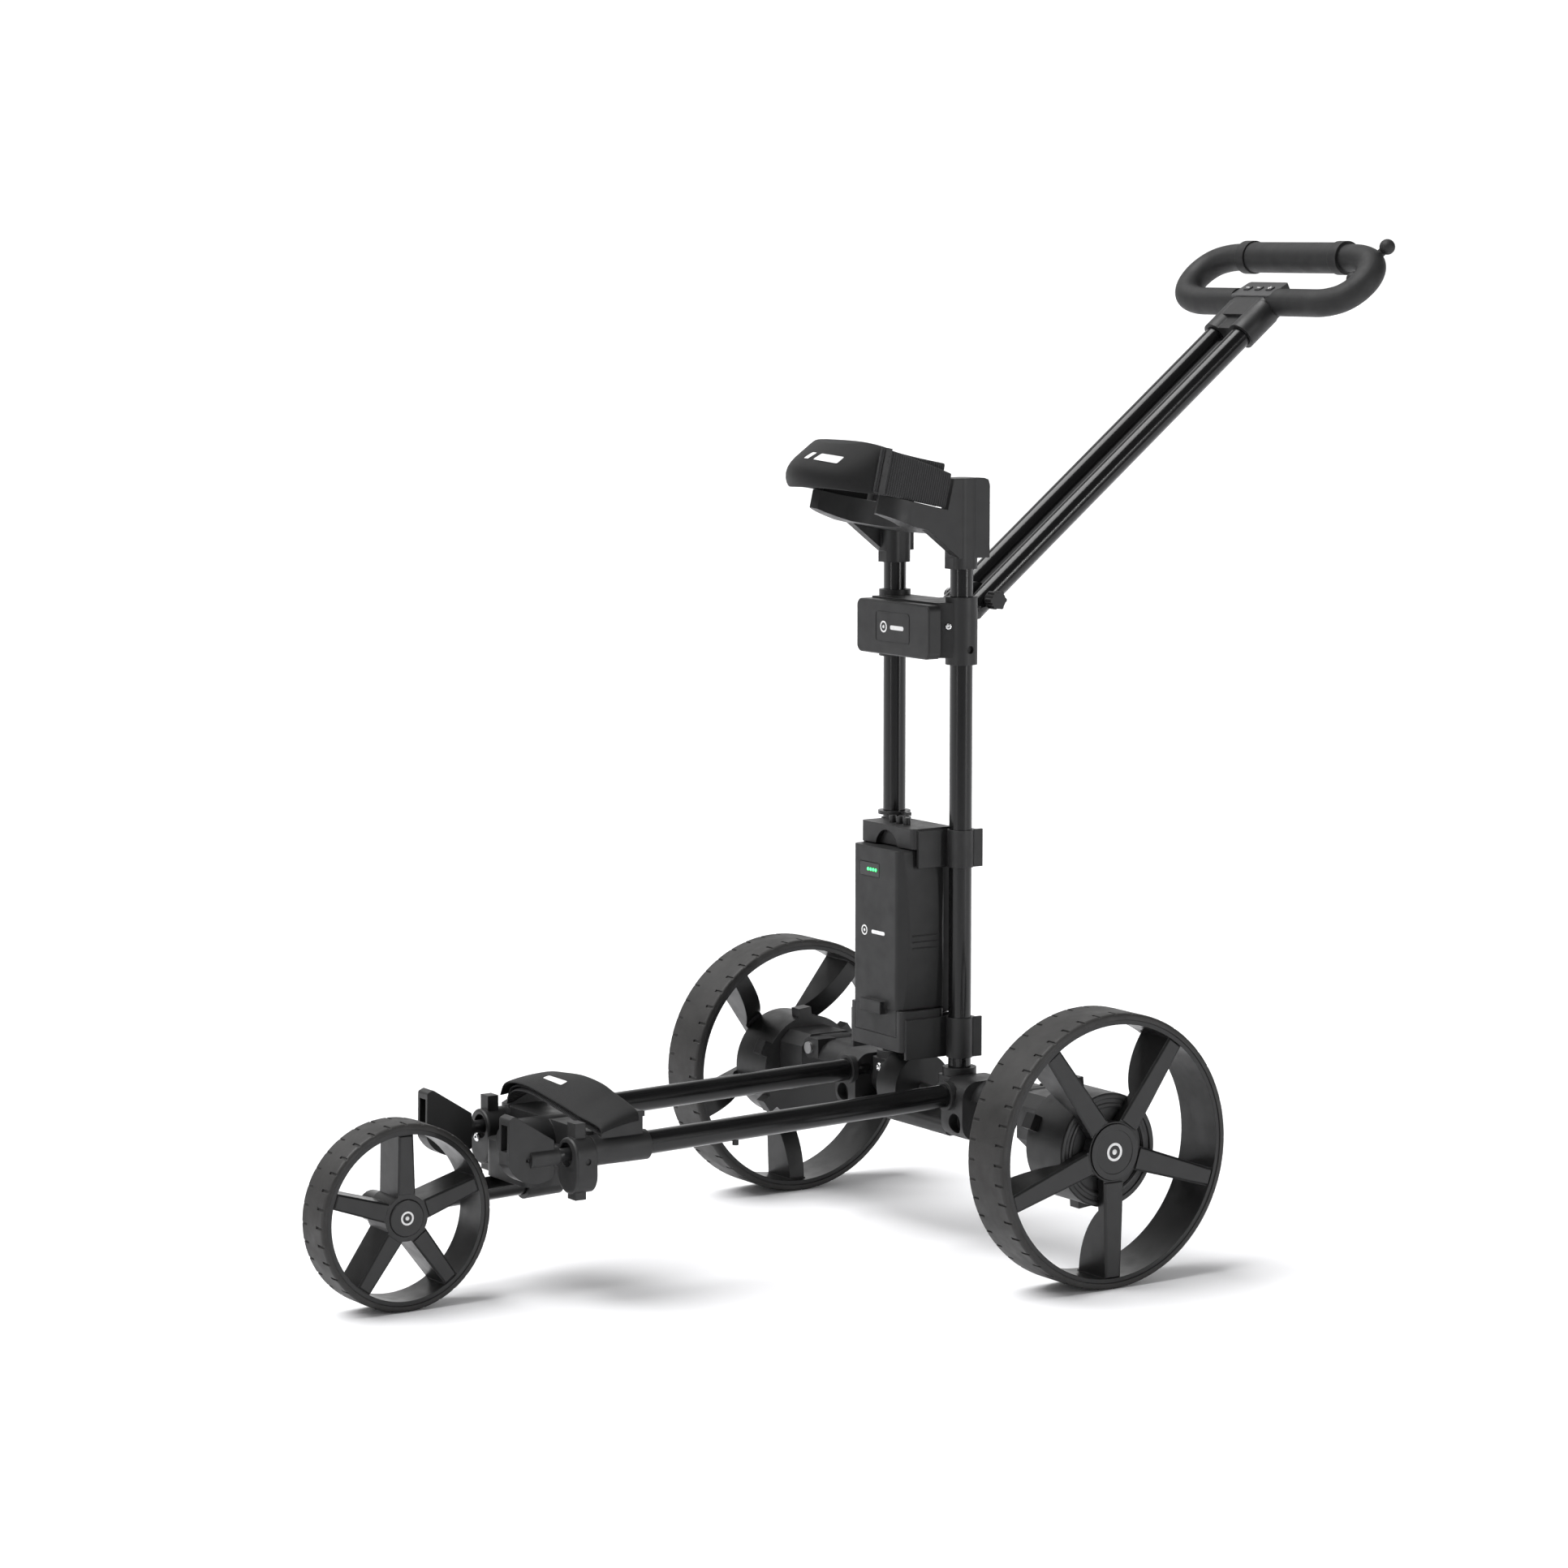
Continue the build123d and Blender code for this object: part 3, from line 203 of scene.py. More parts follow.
def woven(name, tone, rib, thread, depth, rough, sheen):
    """Webbing: ribs across the strap and threads along it, over a fuzz of yarn; the colour follows the
    weave's height, with painted shade in its valleys and painted highlight on its crests.
    """
    material, tree, shader = new_material(name)
    ribs = uv_wave(tree, "X", rib)
    threads = uv_wave(tree, "Y", thread)
    weave = tree.nodes.new("ShaderNodeMath")
    weave.operation = "MULTIPLY_ADD"
    weave.inputs[1].default_value = 0.4
    tree.links.new(threads.outputs["Fac"], weave.inputs[0])
    tree.links.new(ribs.outputs["Fac"], weave.inputs[2])
    fuzz = noise(tree, 900, 3, source="UV")
    total = tree.nodes.new("ShaderNodeMath")
    total.operation = "MULTIPLY_ADD"
    total.inputs[1].default_value = 0.5
    tree.links.new(fuzz.outputs[0], total.inputs[0])
    tree.links.new(weave.outputs[0], total.inputs[2])
    # painted shade and highlight: the colour darkens in the weave's valleys and lightens on its crests,
    # following the same height as the bump
    ramp = tree.nodes.new("ShaderNodeValToRGB")
    ramp.color_ramp.elements[0].position = 0.1
    ramp.color_ramp.elements[1].position = 0.95
    ramp.color_ramp.elements[0].color = (tone * 0.25, tone * 0.25, tone * 0.26, 1)
    ramp.color_ramp.elements[1].color = (tone * 1.7, tone * 1.7, tone * 1.75, 1)
    tree.links.new(total.outputs[0], ramp.inputs[0])
    tree.links.new(ramp.outputs[0], shader.inputs["Base Color"])
    shader.inputs["Roughness"].default_value = rough
    shader.inputs["Specular IOR Level"].default_value = 0.22
    shader.inputs["Sheen Weight"].default_value = sheen
    shader.inputs["Sheen Roughness"].default_value = 0.4
    relief(tree, shader, total.outputs[0], depth, 0.8)
    return material


def glowing(name, colour, strength):
    """A small lit window."""
    material, tree, shader = new_material(name)
    blotches(tree, shader, noise(tree, 500, 1), colour, tuple(min(1, 1.2 * c) for c in colour))
    shader.inputs["Emission Color"].default_value = (*colour, 1)
    shader.inputs["Emission Strength"].default_value = strength
    shader.inputs["Roughness"].default_value = 0.25
    return material


def printed(name, tone):
    """Pale print or rubber badge with a trace of grain."""
    material, tree, shader = new_material(name)
    blotches(tree, shader, noise(tree, 260, 4), (tone * 0.9,) * 3, (tone,) * 3)
    shader.inputs["Roughness"].default_value = 0.5
    relief(tree, shader, noise(tree, 1200, 2).outputs[0], 0.0001, 0.3)
    return material


charcoal = moulded("charcoal_plastic", 0.014, 0.45)
charcoal_drum = moulded("drum_plastic", 0.014, 0.4, 0.3)
charcoal_wheel = moulded("wheel_plastic", 0.011, 0.34, 0.2, 0.0014)
battery_plastic = moulded("battery_plastic", 0.013, 0.48, 0.5, 0.003)
grip_plastic = moulded("grip_foam", 0.013, 0.6, 0.8, 0.0015)
panel_grey = moulded("panel_grey", 0.05, 0.42, 0.25)
key_plastic = moulded("key_plastic", 0.05, 0.5, 0.3)
cap_satin = moulded("cap_satin", 0.013, 0.33, 0.15, 0.001)
dark_window = moulded("dark_window", 0.012, 0.16, 0.05)
black_steel = moulded("black_steel", 0.02, 0.3, 0.1)
tube_black_z = tube_finish("tube_black_upright", (1, 1, 0.02))
tube_black_y = tube_finish("tube_black_lengthwise", (1, 0.02, 1))
bright_steel = metal("bright_steel", 0.72, 0.24)
dull_steel = metal("dull_steel", 0.42, 0.4)
rubber = tread_rubber("tyre_rubber")
ribbed_webbing = woven("ribbed_webbing", 0.022, 0.0029, 0.0012, 0.0009, 0.75, 0.12)
smooth_band = woven("smooth_band", 0.0055, 0.0009, 0.0009, 0.00012, 0.62, 0.05)
white_print = printed("white_print", 0.8)
green_light = glowing("green_light", (0.05, 0.8, 0.16), 3.0)
pale_plastic = moulded("pale_plastic", 0.5, 0.4, 0.2)
cell_wrap = moulded("cell_wrap", 0.1, 0.3, 0.1)

FINISHES = {
    charcoal: [
        "rear_bracket_left", "rear_bracket_right", "cross_beam", "front_sleeves", "wing_mounts",
        "front_bridge", "hinge_shoes", "battery_dock", "battery_tray", "hub_box", "cradle",
        "tube_plugs", "handle_neck", "clamp_knob", "wing_left", "wing_right",
        "gearbox_left", "gearbox_right",
    ],
    charcoal_drum: ["motor_drum_left", "motor_drum_right"],
    charcoal_wheel: ["rear_rim_left", "rear_rim_right", "front_rim"],
    battery_plastic: ["battery_case"],
    grip_plastic: ["grip", "handle_loop", "accessory_screw"],
    panel_grey: ["control_panel"],
    key_plastic: ["button_slower", "button_power", "button_faster"],
    pale_plastic: ["axle_release"],
    cap_satin: ["rear_cap_left", "rear_cap_right", "front_cap"],
    dark_window: ["battery_display"],
    black_steel: ["wing_pins", "strap_buckle", "dock_terminals"],
    tube_black_z: ["uprights"],
    tube_black_y: ["longerons", "handle_tubes", "front_arm"],
    bright_steel: ["front_axle", "handle_bolt"],
    dull_steel: [
        "fold_shaft", "wheel_hinge_pins", "motor_left", "motor_right", "gear_train_left",
        "gear_train_right", "rear_axle_left", "rear_axle_right",
    ],
    cell_wrap: ["battery_cells"],
    rubber: ["rear_tyre_left", "rear_tyre_right", "front_tyre"],
}
for finish, names in FINISHES.items():
    for name in names:
        nodes[name].data.materials.clear()
        nodes[name].data.materials.append(finish)


# ---------------------------------------------------------------- mesh helpers
def closed_mesh(bm, name):
    """Turns all faces outwards and makes the mesh."""
    bmesh.ops.recalc_face_normals(bm, faces=bm.faces)
    mesh_data = bpy.data.meshes.new(name)
    bm.to_mesh(mesh_data)
    bm.free()
    return mesh_data


def bridge(bm, first, second):
    """Faces between two rings of as many vertices."""
    count = len(first)
    for k in range(count):
        j = (k + 1) % count
        bm.faces.new((first[k], first[j], second[j], second[k]))


def finished(name, mesh_data, material, body, smooth=True):
    """Links a mesh as a piece that rides on a body."""
    piece = bpy.data.objects.new(name, mesh_data)
    bpy.context.scene.collection.objects.link(piece)
    mesh_data.materials.append(material)
    for polygon in mesh_data.polygons:
        polygon.use_smooth = smooth
    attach(piece, body)
    return piece


def slab(outline, origin, u, v, low, high, shrink=1.0):
    """A flat-topped boss: an outline in the plane of u and v, from low to high along u x v."""
    normal = u.cross(v).normalized()
    centre = Vector((sum(p[0] for p in outline), sum(p[1] for p in outline))) / len(outline)
    bm = bmesh.new()
    rings = []
    for height, scale in ((low, 1.0), (high, shrink)):
        ring = []
        for p in outline:
            q = centre + (Vector(p) - centre) * scale
            ring.append(bm.verts.new(origin + u * q[0] + v * q[1] + normal * height))
        rings.append(ring)
    bridge(bm, *rings)
    bm.faces.new(rings[1])
    bm.faces.new(list(reversed(rings[0])))
    return closed_mesh(bm, "slab")


def lathe(profile, origin, axis, steps=64):
    """A turned solid: (along, radius) points revolved about an axis; ends on the axis."""
    across = axis.orthogonal().normalized()
    other = axis.cross(across)
    bm = bmesh.new()
    rings = []
    for along, r in profile:
        if r == 0:
            rings.append([bm.verts.new(origin + axis * along)])
            continue
        ring = []
        for k in range(steps):
            a = 2 * pi * k / steps
            ring.append(bm.verts.new(origin + axis * along + (across * cos(a) + other * sin(a)) * r))
        rings.append(ring)
    for first, second in zip(rings, rings[1:]):
        for k in range(steps):
            j = (k + 1) % steps
            corners = [first[k % len(first)], first[j % len(first)]]
            corners += [second[j % len(second)], second[k % len(second)]]
            bm.faces.new(list(dict.fromkeys(corners)))
    return closed_mesh(bm, "lathe")


def washer(origin, axis, r_in, r_out, height):
    """A flat ring with softened edges."""
    soft = min(height, r_out - r_in) * 0.25
    profile = [
        (0, r_in), (0, r_out), (height - soft, r_out), (height, r_out - soft),
        (height, r_in + soft), (height - soft, r_in), (0, r_in),
    ]
    return lathe(profile, origin, axis, 72)


def rounded(width, height, r):
    """Outline of a rounded rectangle about the origin."""
    points = []
    steps = 5
    corners = ((1, 1, 0), (-1, 1, 90), (-1, -1, 180), (1, -1, 270))
    for sx, sy, start in corners:
        for k in range(steps + 1):
            a = radians(start + 90 * k / steps)
            points.append((sx * (width / 2 - r) + r * cos(a), sy * (height / 2 - r) + r * sin(a)))
    return points


def smooth_line(points, steps):
    """Catmull-Rom line through points."""
    points = [Vector(p) for p in points]
    ends = [2 * points[0] - points[1], *points, 2 * points[-1] - points[-2]]
    line = []
    for k in range(1, len(ends) - 2):
        a, b, c, d = ends[k - 1: k + 3]
        for i in range(steps):
            t = i / steps
            line.append(
                0.5 * (2 * b + (c - a) * t + (2 * a - 5 * b + 4 * c - d) * t ** 2
                       + (3 * b - a - 3 * c + d) * t ** 3)
            )
    line.append(points[-1].copy())
    return line


def band(name, rails, thickness, material, body):
    """A strap skinned through rails that run side by side along it, with a real thickness."""
    steps = len(rails[0])
    count = len(rails)
    bm = bmesh.new()
    uv = bm.loops.layers.uv.new("UVMap")
    middle = rails[count // 2]
    along = [0.0]
    for p, q in zip(middle, middle[1:]):
        along.append(along[-1] + (q - p).length)
    layers = []
    for side in (0.5, -0.5):
        grid = []
        for k in range(steps):
            step = middle[min(k + 1, steps - 1)] - middle[max(k - 1, 0)]
            row = []
            for i in range(count):
                across = rails[min(i + 1, count - 1)][k] - rails[max(i - 1, 0)][k]
                out = step.cross(across).normalized()
                thin = 0.45 if i in (0, count - 1) else 1.0
                row.append(bm.verts.new(rails[i][k] + out * thickness * side * thin))
            grid.append(row)
        layers.append(grid)
    widths = [0.0]
    half = steps // 2
    for i in range(count - 1):
        widths.append(widths[-1] + (rails[i + 1][half] - rails[i][half]).length)

    def face(a, b, c, d, spots):
        made = bm.faces.new((a, b, c, d))
        for loop, spot in zip(made.loops, spots):
            loop[uv].uv = spot

    for grid in layers:
        for k in range(steps - 1):
            for i in range(count - 1):
                spots = [(along[k], widths[i]), (along[k + 1], widths[i]),
                         (along[k + 1], widths[i + 1]), (along[k], widths[i + 1])]
                face(grid[k][i], grid[k + 1][i], grid[k + 1][i + 1], grid[k][i + 1], spots)
    top, bottom = layers
    for k in range(steps - 1):
        for i in (0, count - 1):
            spots = [(along[k], widths[i]), (along[k + 1], widths[i])] * 2
            face(top[k][i], top[k + 1][i], bottom[k + 1][i], bottom[k][i], spots)
    for i in range(count - 1):
        for k in (0, steps - 1):
            spots = [(along[k], widths[i]), (along[k], widths[i + 1])] * 2
            face(top[k][i], top[k][i + 1], bottom[k][i + 1], bottom[k][i], spots)
    mesh_data = closed_mesh(bm, name)
    piece = finished(name, mesh_data, material, body)
    modifier = piece.modifiers.new("soft", "SUBSURF")
    modifier.levels = modifier.render_levels = 1
    return piece


# ---------------------------------------------------------------- upper strap
def strap_point(turn, out):
    """Where the upper strap runs, from turn -1 at the right end to 1 at the left end: sideways and
    forwards, and how nearly it faces forwards."""
    straight = STRAP_REACH - STRAP_HALF + STRAP_TAIL
    quarter = STRAP_HALF * pi / 2
    run = abs(turn) * (straight + quarter)
    side = 1 if turn > 0 else -1
    if run < quarter:
        a = run / STRAP_HALF
        x = side * (STRAP_HALF + out) * sin(a)
        fore = STRAP_REACH - STRAP_HALF + (STRAP_HALF + out) * cos(a)
        tip = cos(a) ** 1.3
    else:
        x = side * (STRAP_HALF + out)
        fore = STRAP_REACH - STRAP_HALF - (run - quarter)
        tip = 0.0
    return x, fore, tip


# how far the strap's face leans out (+) or back (-) at the front, from its bottom edge to its top
LEAN = (
    (0.0, -0.006), (0.1, 0.002), (0.22, 0.005), (0.4, 0.0), (0.6, -0.014), (0.8, -0.027), (1.0, -0.042),
)


def lean_at(share):
    """The lean at a share of the strap's height."""
    for (s0, l0), (s1, l1) in zip(LEAN, LEAN[1:]):
        if share <= s1:
            return l0 + (l1 - l0) * (share - s0) / (s1 - s0)
    return LEAN[-1][1]


def strap_rails(first, last, steps, heights, grow=0.0, lean=1.0, drop=0.0):
    """Rails of the strap between two turns; at the front its face leans back as it is pulled tight,
    and its far end can drop towards the cradle."""
    rails = []
    for share in heights:
        rail = []
        for k in range(steps + 1):
            turn = first + (last - first) * k / steps
            x, fore, tip = strap_point(turn, grow)
            push = tip * lean * lean_at(share)
            rise = STRAP_FOOT + STRAP_WIDTH * share + tip * lean * (0.005 - 0.012 * (1 - share) ** 2)
            rise -= drop * share * (k / steps) ** 1.6
            sag = 0.0007 * sin(9 * turn + 5 * share)
            rail.append(
                CRADLE_ORIGIN + Vector((x, 0, 0)) + CRADLE_FORE * (fore + push)
                + CRADLE_UP * (rise + sag)
            )
        rails.append(rail)
    return rails


# the smooth sleeve runs to the buckle and the ribbed webbing from there to the left end
HEIGHTS = (0.0, 0.06, 0.2, 0.4, 0.6, 0.8, 0.94, 1.0)
RETURN_HEIGHTS = (0.0, 0.1, 0.35, 0.65, 0.9, 1.0)
BUCKLE_TURN = 0.49
STRAP_END = 0.93
sleeve = band(
    "strap_sleeve", strap_rails(-STRAP_END, BUCKLE_TURN, 96, HEIGHTS),
    0.003, smooth_band, "uprights",
)
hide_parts("upper_strap")
band(
    "strap_webbing",
    strap_rails(BUCKLE_TURN - 0.03, STRAP_END, 48, HEIGHTS, 0.0018, 0.0, 0.01),
    0.0032, ribbed_webbing, "uprights",
)
band(
    "strap_return",
    strap_rails(-0.62, 0.9, 90, RETURN_HEIGHTS, -0.0045, 0.8),
    0.0026, ribbed_webbing, "uprights",
)

# ---------------------------------------------------------------- lower strap
# x and z along the rear edge and along the front edge, from the left end to the right end
LOWER_REAR = [
    (0.109, 0.196), (0.105, 0.2055), (0.088, 0.2115), (0.06, 0.218), (0.034, 0.224),
    (-0.005, 0.2265), (-0.045, 0.2235), (-0.076, 0.2195), (-0.097, 0.2115), (-0.106, 0.197),
]
LOWER_FRONT = [
    (0.110, 0.187), (0.106, 0.1925), (0.088, 0.1955), (0.064, 0.198), (0.04, 0.202),
    (-0.005, 0.2085), (-0.045, 0.2135), (-0.074, 0.213), (-0.095, 0.208), (-0.105, 0.194),
]
LOWER_REAR_Y = -0.458
LOWER_FRONT_Y = -0.506
LOWER_CROWN = 0.0016


def lower_rails(drop, squeeze, front_y=LOWER_FRONT_Y, rear_y=LOWER_REAR_Y):
    """Rails across the lower strap, from its rear edge to its front edge; y is from the rear axle."""
    rails = []
    for share in (0.0, 0.07, 0.3, 0.5, 0.7, 0.93, 1.0):
        crown = LOWER_CROWN * sin(pi * share)
        spots = []
        for (xr, zr), (xf, zf) in zip(LOWER_REAR, LOWER_FRONT):
            x = (xr + (xf - xr) * share) * squeeze
            z = zr + (zf - zr) * share - drop + crown
            spots.append((x, AXLE_Y + rear_y + (front_y - rear_y) * share, z))
        rails.append(smooth_line(spots, 8))
    return rails


lower = band("lower_band", lower_rails(0, 1), 0.003, smooth_band, "chassis")
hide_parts("lower_strap")
LOWER_LAYERS = (("lower_band_fold", 0.0042, 0.955, -0.5), ("lower_band_inner", 0.0084, 0.91, -0.503))
for name, drop, squeeze, front_y in LOWER_LAYERS:
    rails = lower_rails(drop, squeeze, front_y, front_y + 0.04)
    band(name, rails, 0.0026, ribbed_webbing, "chassis")

# ---------------------------------------------------------------- wheels: raised spoke faces and badges
SPOKES = 5


def spoke_faces(name, centre, out, half0, half1, r0, r1, rise, body, start=0.0):
    """A bevelled plate on each spoke's outer face, all in one mesh."""
    bm = bmesh.new()
    for k in range(SPOKES):
        turn = start + 2 * pi * k / SPOKES
        down = Vector((0, sin(turn), -cos(turn)))
        side = Vector((0, cos(turn), sin(turn)))
        outline = [(r0, -half0), (r1, -half1), (r1, half1), (r0, half0)]
        inset = [
            (r0, -half0 + rise), (r1 - rise, -half1 + rise), (r1 - rise, half1 - rise), (r0, half0 - rise),
        ]
        low = [bm.verts.new(centre + down * r + side * w + out * -SUNK) for r, w in outline]
        high = [bm.verts.new(centre + down * r + side * w + out * rise * 0.8) for r, w in inset]
        bridge(bm, low, high)
        bm.faces.new(high)
        bm.faces.new(list(reversed(low)))
    return finished(name, closed_mesh(bm, name), charcoal_wheel, body, smooth=False)


def ring_badge(name, centre, axis, size, body):
    """A plain pale ring with a dot in it."""
    finished(name, washer(centre, axis, size * 0.72, size, 0.0004), white_print, body)
    dot = lathe([(0, 0), (0, size * 0.3), (0.0004, size * 0.28), (0.0004, 0)], centre, axis, 32)
    finished(name + "_dot", dot, white_print, body)


for side, s in SIDES:
    face = Vector((s * RIM_FACE, AXLE_Y, REAR_R))
    out = Vector((s, 0, 0))
    body = f"rear_wheel_{side}"
    spoke_faces(f"spoke_faces_{side}", face, out, 0.0132, 0.0096, 0.0335, RIM_R - 0.0045,
                0.0022, body)
    cap = Vector((s * CAP_FACE, AXLE_Y, REAR_R))
    ring_badge(f"rear_badge_{side}", cap, out, 0.010, body)
    drum = Vector((s * DRUM_OUT, AXLE_Y, REAR_R))
    for kind, r_in, r_out, height in (("ring", 0.047, 0.0515, 0.0012), ("lip", 0.056, 0.0615, 0.0016)):
        finished(f"drum_{kind}_{side}", washer(drum, out, r_in, r_out, height), charcoal_drum,
                 f"rear_arm_{side}")

front_face = Vector((FRONT_RIM_FACE, FRONT_Y, FRONT_R))
spoke_faces("spoke_faces_front", front_face, LEFTWARDS, 0.0102, 0.0083, 0.0255, 0.0885, 0.0018,
            "front_wheel", pi)
front_cap = Vector((FRONT_CAP_FACE, FRONT_Y, FRONT_R))
ring_badge("front_badge", front_cap, LEFTWARDS, 0.0075, "front_wheel")


# ---------------------------------------------------------------- hub box, battery and dock details
def plate(name, spot, width, height, r, rise, material, body, u=LEFTWARDS, v=UP):
    """A low rounded plate standing proud of a face, with a softened edge."""
    mesh_data = slab(rounded(width, height, r), Vector(spot), u, v, -SUNK, rise, 0.985)
    return finished(name, mesh_data, material, body, smooth=False)


def frame_line(name, spot, width, height, line, rise, body, material):
    """A thin raised outline, as moulded round a label."""
    bm = bmesh.new()
    loops = []
    for grow, high in ((0, 0), (0, rise), (-line, rise), (-line, 0)):
        base = Vector(spot) + AHEAD * (high - 0.0002)
        outline = rounded(width + 2 * grow, height + 2 * grow, 0.004 + grow)
        loops.append([bm.verts.new(base + LEFTWARDS * p[0] + UP * p[1]) for p in outline])
    for first, second in zip(loops, [*loops[1:], loops[0]]):
        bridge(bm, first, second)
    return finished(name, closed_mesh(bm, name), material, body, smooth=False)


def screw(name, spot, axis, r, body):
    """A pan-head screw with a hexagon socket."""
    spot, axis = Vector(spot), Vector(axis).normalized()
    across = axis.orthogonal().normalized()
    other = axis.cross(across)
    bm = bmesh.new()
    rings = []
    head = [(-0.001, r), (r * 0.25, r), (r * 0.45, r * 0.8), (r * 0.5, r * 0.55)]
    socket = [(r * 0.48, r * 0.45), (r * 0.1, r * 0.42)]
    steps = 24
    for profile, hexagonal in ((head, False), (socket, True)):
        for along, radius in profile:
            ring = []
            for k in range(steps):
                a = 2 * pi * k / steps
                reach = radius * 0.87 / cos((a % (pi / 3)) - pi / 6) if hexagonal else radius
                out = across * cos(a) + other * sin(a)
                ring.append(bm.verts.new(spot + axis * along + out * reach))
            rings.append(ring)
    for first, second in zip(rings, rings[1:]):
        bridge(bm, first, second)
    bm.faces.new(rings[-1])
    bm.faces.new(list(reversed(rings[0])))
    return finished(name, closed_mesh(bm, name), bright_steel, body)


HUB_LABEL_Z = 0.692
frame_line("hub_label_frame", (0, HUB_FRONT, HUB_LABEL_Z), 0.066, 0.034, 0.0007, 0.0006, "uprights",
           charcoal)
ring_badge("hub_badge", Vector((-0.017, HUB_FRONT, HUB_LABEL_Z)), AHEAD, 0.0065, "uprights")
plate("hub_badge_bar", (0.009, HUB_FRONT, HUB_LABEL_Z), 0.026, 0.0048, 0.0022, 0.0004, white_print,
      "uprights")

BATTERY_LABEL_Z = 0.352
LIGHTS_Z = 0.422
ring_badge("battery_badge", Vector((-0.021, BATTERY_FRONT, BATTERY_LABEL_Z)), AHEAD, 0.0058, "battery")
plate("battery_badge_bar", (0.006, BATTERY_FRONT, BATTERY_LABEL_Z), 0.026, 0.0042, 0.002, 0.0004,
      white_print, "battery")
for k, x in enumerate((-0.013, -0.008, -0.003, 0.002)):
    lens = lathe([(0, 0), (0, 0.0019), (0.0006, 0.0017), (0.0008, 0)],
                 Vector((x, BATTERY_FRONT - 0.0007, LIGHTS_Z)), AHEAD, 24)
    finished(f"charge_light_{k + 1}", lens, green_light, "battery")
BATTERY_HALF = 0.05
for k in range(3):
    for letter, x, u in (("l", BATTERY_HALF, -AHEAD), ("r", -BATTERY_HALF, AHEAD)):
        plate(f"battery_rib_{k + 1}_{letter}", (x, AXLE_Y - 0.05, BATTERY_LABEL_Z - 0.007 * k),
              0.034, 0.0014, 0.0006, 0.0007, battery_plastic, "battery", u)

screw("hub_screw_left", (0.0695, AXLE_Y - 0.0337, 0.697), (0.855, -0.518, 0), 0.0038, "uprights")
screw("mount_screw_right", (-0.098, AXLE_Y - 0.538, 0.153), AHEAD, 0.0052, "chassis")
for side, s in reversed(SIDES):
    screw(f"shoe_screw_{side}", (s * 0.065, AXLE_Y - 0.0325, 0.184), AHEAD, 0.005, "uprights")

# pale marks on the three control keys
PANEL_RISE = radians(27)
GRIP_TO_BAR = 0.075
BAR = GRIP - Vector((0, cos(LOOP_RISE), sin(LOOP_RISE))) * GRIP_TO_BAR
PANEL = BAR + Vector((0, 0.001, 0.012))
PANEL_V = Vector((0, cos(PANEL_RISE), sin(PANEL_RISE)))
PANEL_OUT = LEFTWARDS.cross(PANEL_V)
KEY_TOP = 0.0054
KEY_PITCH = 0.020
for k, name in enumerate(("slower", "power", "faster")):
    spot = PANEL + PANEL_OUT * KEY_TOP + LEFTWARDS * KEY_PITCH * (k - 1)
    plate(f"key_mark_{name}", spot, 0.006, 0.0012, 0.0005, 0.0003, white_print,
          f"button_{name}", LEFTWARDS, PANEL_V)
plate("key_mark_faster_upright", PANEL + PANEL_OUT * KEY_TOP + LEFTWARDS * KEY_PITCH, 0.0012, 0.006,
      0.0005, 0.0003, white_print, "button_faster", LEFTWARDS, PANEL_V)

# a plain pale patch sewn on each strap
PATCH_HEIGHTS = (0.46, 0.52, 0.56, 0.62)
patch_rails = strap_rails(0.07, 0.23, 16, PATCH_HEIGHTS, 0.0021)
dot_rails = strap_rails(-0.01, 0.03, 6, PATCH_HEIGHTS, 0.0021)
lower_patch = []
for share in (0.42, 0.48, 0.54, 0.6):
    spots = []
    for (xr, zr), (xf, zf) in zip(LOWER_REAR[5:7], LOWER_FRONT[5:7]):
        x = xr + (xf - xr) * share
        z = zr + (zf - zr) * share + LOWER_CROWN * sin(pi * share) + 0.0019
        spots.append((x, AXLE_Y + LOWER_REAR_Y + (LOWER_FRONT_Y - LOWER_REAR_Y) * share, z))
    lower_patch.append(smooth_line(spots, 8))
band("strap_patch", patch_rails, 0.0009, white_print, "uprights")
band("strap_patch_dot", dot_rails, 0.0009, white_print, "uprights")
band("lower_patch", lower_patch, 0.0009, white_print, "chassis")


# ---------------------------------------------------------------- floor, light and camera
def ramp_along(tree, source, direction, start, end, low, high):
    """A smooth ramp from low to high along a level direction."""
    coords = tree.nodes.new("ShaderNodeTexCoord")
    along = tree.nodes.new("ShaderNodeVectorMath")
    along.operation = "DOT_PRODUCT"
    along.inputs[1].default_value = direction
    level = tree.nodes.new("ShaderNodeMapRange")
    level.interpolation_type = "SMOOTHSTEP"
    level.inputs["From Min"].default_value = start
    level.inputs["From Max"].default_value = end
    level.inputs["To Min"].default_value = low
    level.inputs["To Max"].default_value = high
    tree.links.new(coords.outputs[source], along.inputs[0])
    tree.links.new(along.outputs["Value"], level.inputs["Value"])
    return level.outputs[0]


FLOOR_HALF = 60
TO_CAMERA = (0.838, -0.546, 0)
FROM_CAMERA = (-0.838, 0.546, 0)
corners = [(x * FLOOR_HALF, y * FLOOR_HALF, 0) for x, y in ((-1, -1), (1, -1), (1, 1), (-1, 1))]
floor_mesh = bpy.data.meshes.new("floor")
floor_mesh.from_pydata(corners, [], [(0, 1, 2, 3)])
floor = bpy.data.objects.new("floor", floor_mesh)
bpy.context.scene.collection.objects.link(floor)
floor_paint, floor_tree, floor_shader = new_material("studio_floor")
blotches(floor_tree, floor_shader, noise(floor_tree, 2, 3), (0.955, 0.955, 0.97), (0.965, 0.965, 0.98))
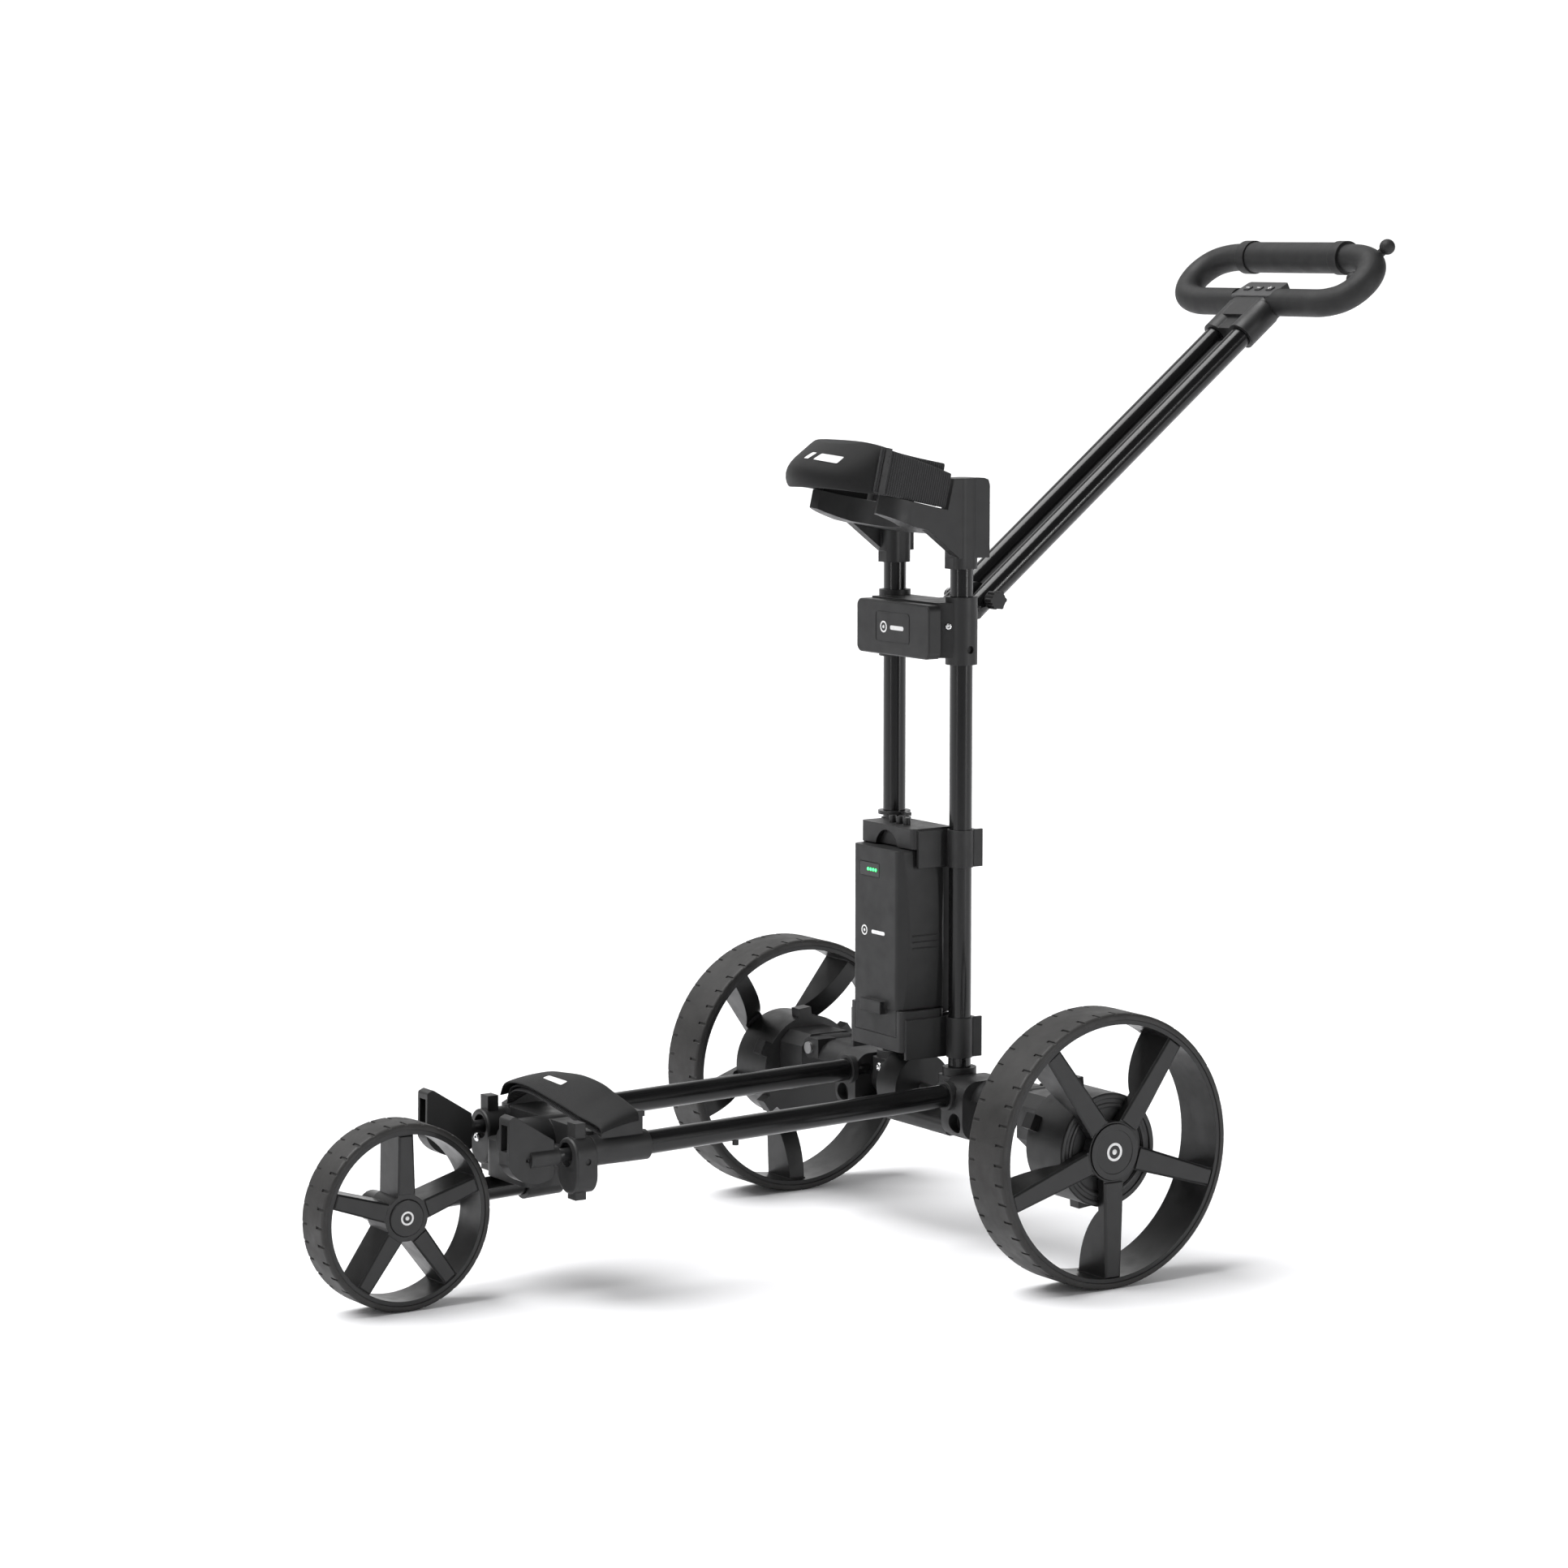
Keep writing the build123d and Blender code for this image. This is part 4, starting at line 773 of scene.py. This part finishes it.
# the floor greys towards the camera, so that the dark tubes have a dimmer room to reflect
floor_mix = floor_tree.nodes.new("ShaderNodeMix")
floor_mix.data_type = "RGBA"
floor_mix.inputs["B"].default_value = (0.36, 0.36, 0.37, 1)
floor_colour = floor_shader.inputs["Base Color"].links[0].from_socket
floor_grey = ramp_along(floor_tree, "Object", TO_CAMERA, 1.5, 4.5, 0, 1)
floor_tree.links.new(floor_grey, floor_mix.inputs["Factor"])
floor_tree.links.new(floor_colour, floor_mix.inputs["A"])
floor_tree.links.new(floor_mix.outputs["Result"], floor_shader.inputs["Base Color"])
floor_shader.inputs["Roughness"].default_value = 0.6
floor_mesh.materials.append(floor_paint)

# a white sweep behind the trolley and a dimmer room round it
world = bpy.data.worlds.new("studio")
world.use_nodes = True
bpy.context.scene.world = world
sky = world.node_tree
background = sky.nodes["Background"]
background.inputs["Color"].default_value = (1, 1, 1, 1)
sky_level = ramp_along(sky, "Generated", FROM_CAMERA, 0.5, 0.92, 0.14, 1.1)
sky.links.new(sky_level, background.inputs["Strength"])

sun = bpy.data.lights.new("overhead", "SUN")
sun.energy = 4.3
sun.angle = radians(50)
overhead = bpy.data.objects.new("overhead", sun)
overhead.rotation_euler = (radians(24), radians(-14), 0)
bpy.context.scene.collection.objects.link(overhead)


def softbox(name, spot, aim, width, height, power):
    """A rectangular studio light."""
    data = bpy.data.lights.new(name, "AREA")
    data.shape = "RECTANGLE"
    data.size, data.size_y = width, height
    data.energy = power
    lamp = bpy.data.objects.new(name, data)
    lamp.location = spot
    lamp.rotation_euler = (Vector(aim) - Vector(spot)).to_track_quat("-Z", "Y").to_euler()
    bpy.context.scene.collection.objects.link(lamp)


softbox("strip_left", (1.2, -4.6, 1.5), (0, 0, 0.6), 0.3, 2.6, 26)
softbox("strip_right", (4.6, 1.6, 1.6), (0, 0, 0.6), 0.26, 2.6, 55)

camera = bpy.data.cameras.new("camera")
camera.lens = 104.4
camera.sensor_width = 36
camera.clip_end = 200
CAMERA_PLACE = (4.1522, AXLE_Y - 2.9101, 1.1277)
CAMERA_DIP = 0.1207
CAMERA_TURN = 0.9933
viewer = bpy.data.objects.new("camera", camera)
viewer.location = CAMERA_PLACE
viewer.rotation_euler = (radians(90) - CAMERA_DIP, 0, CAMERA_TURN)
bpy.context.scene.collection.objects.link(viewer)
bpy.context.scene.camera = viewer
bpy.context.scene.view_settings.view_transform = "Standard"
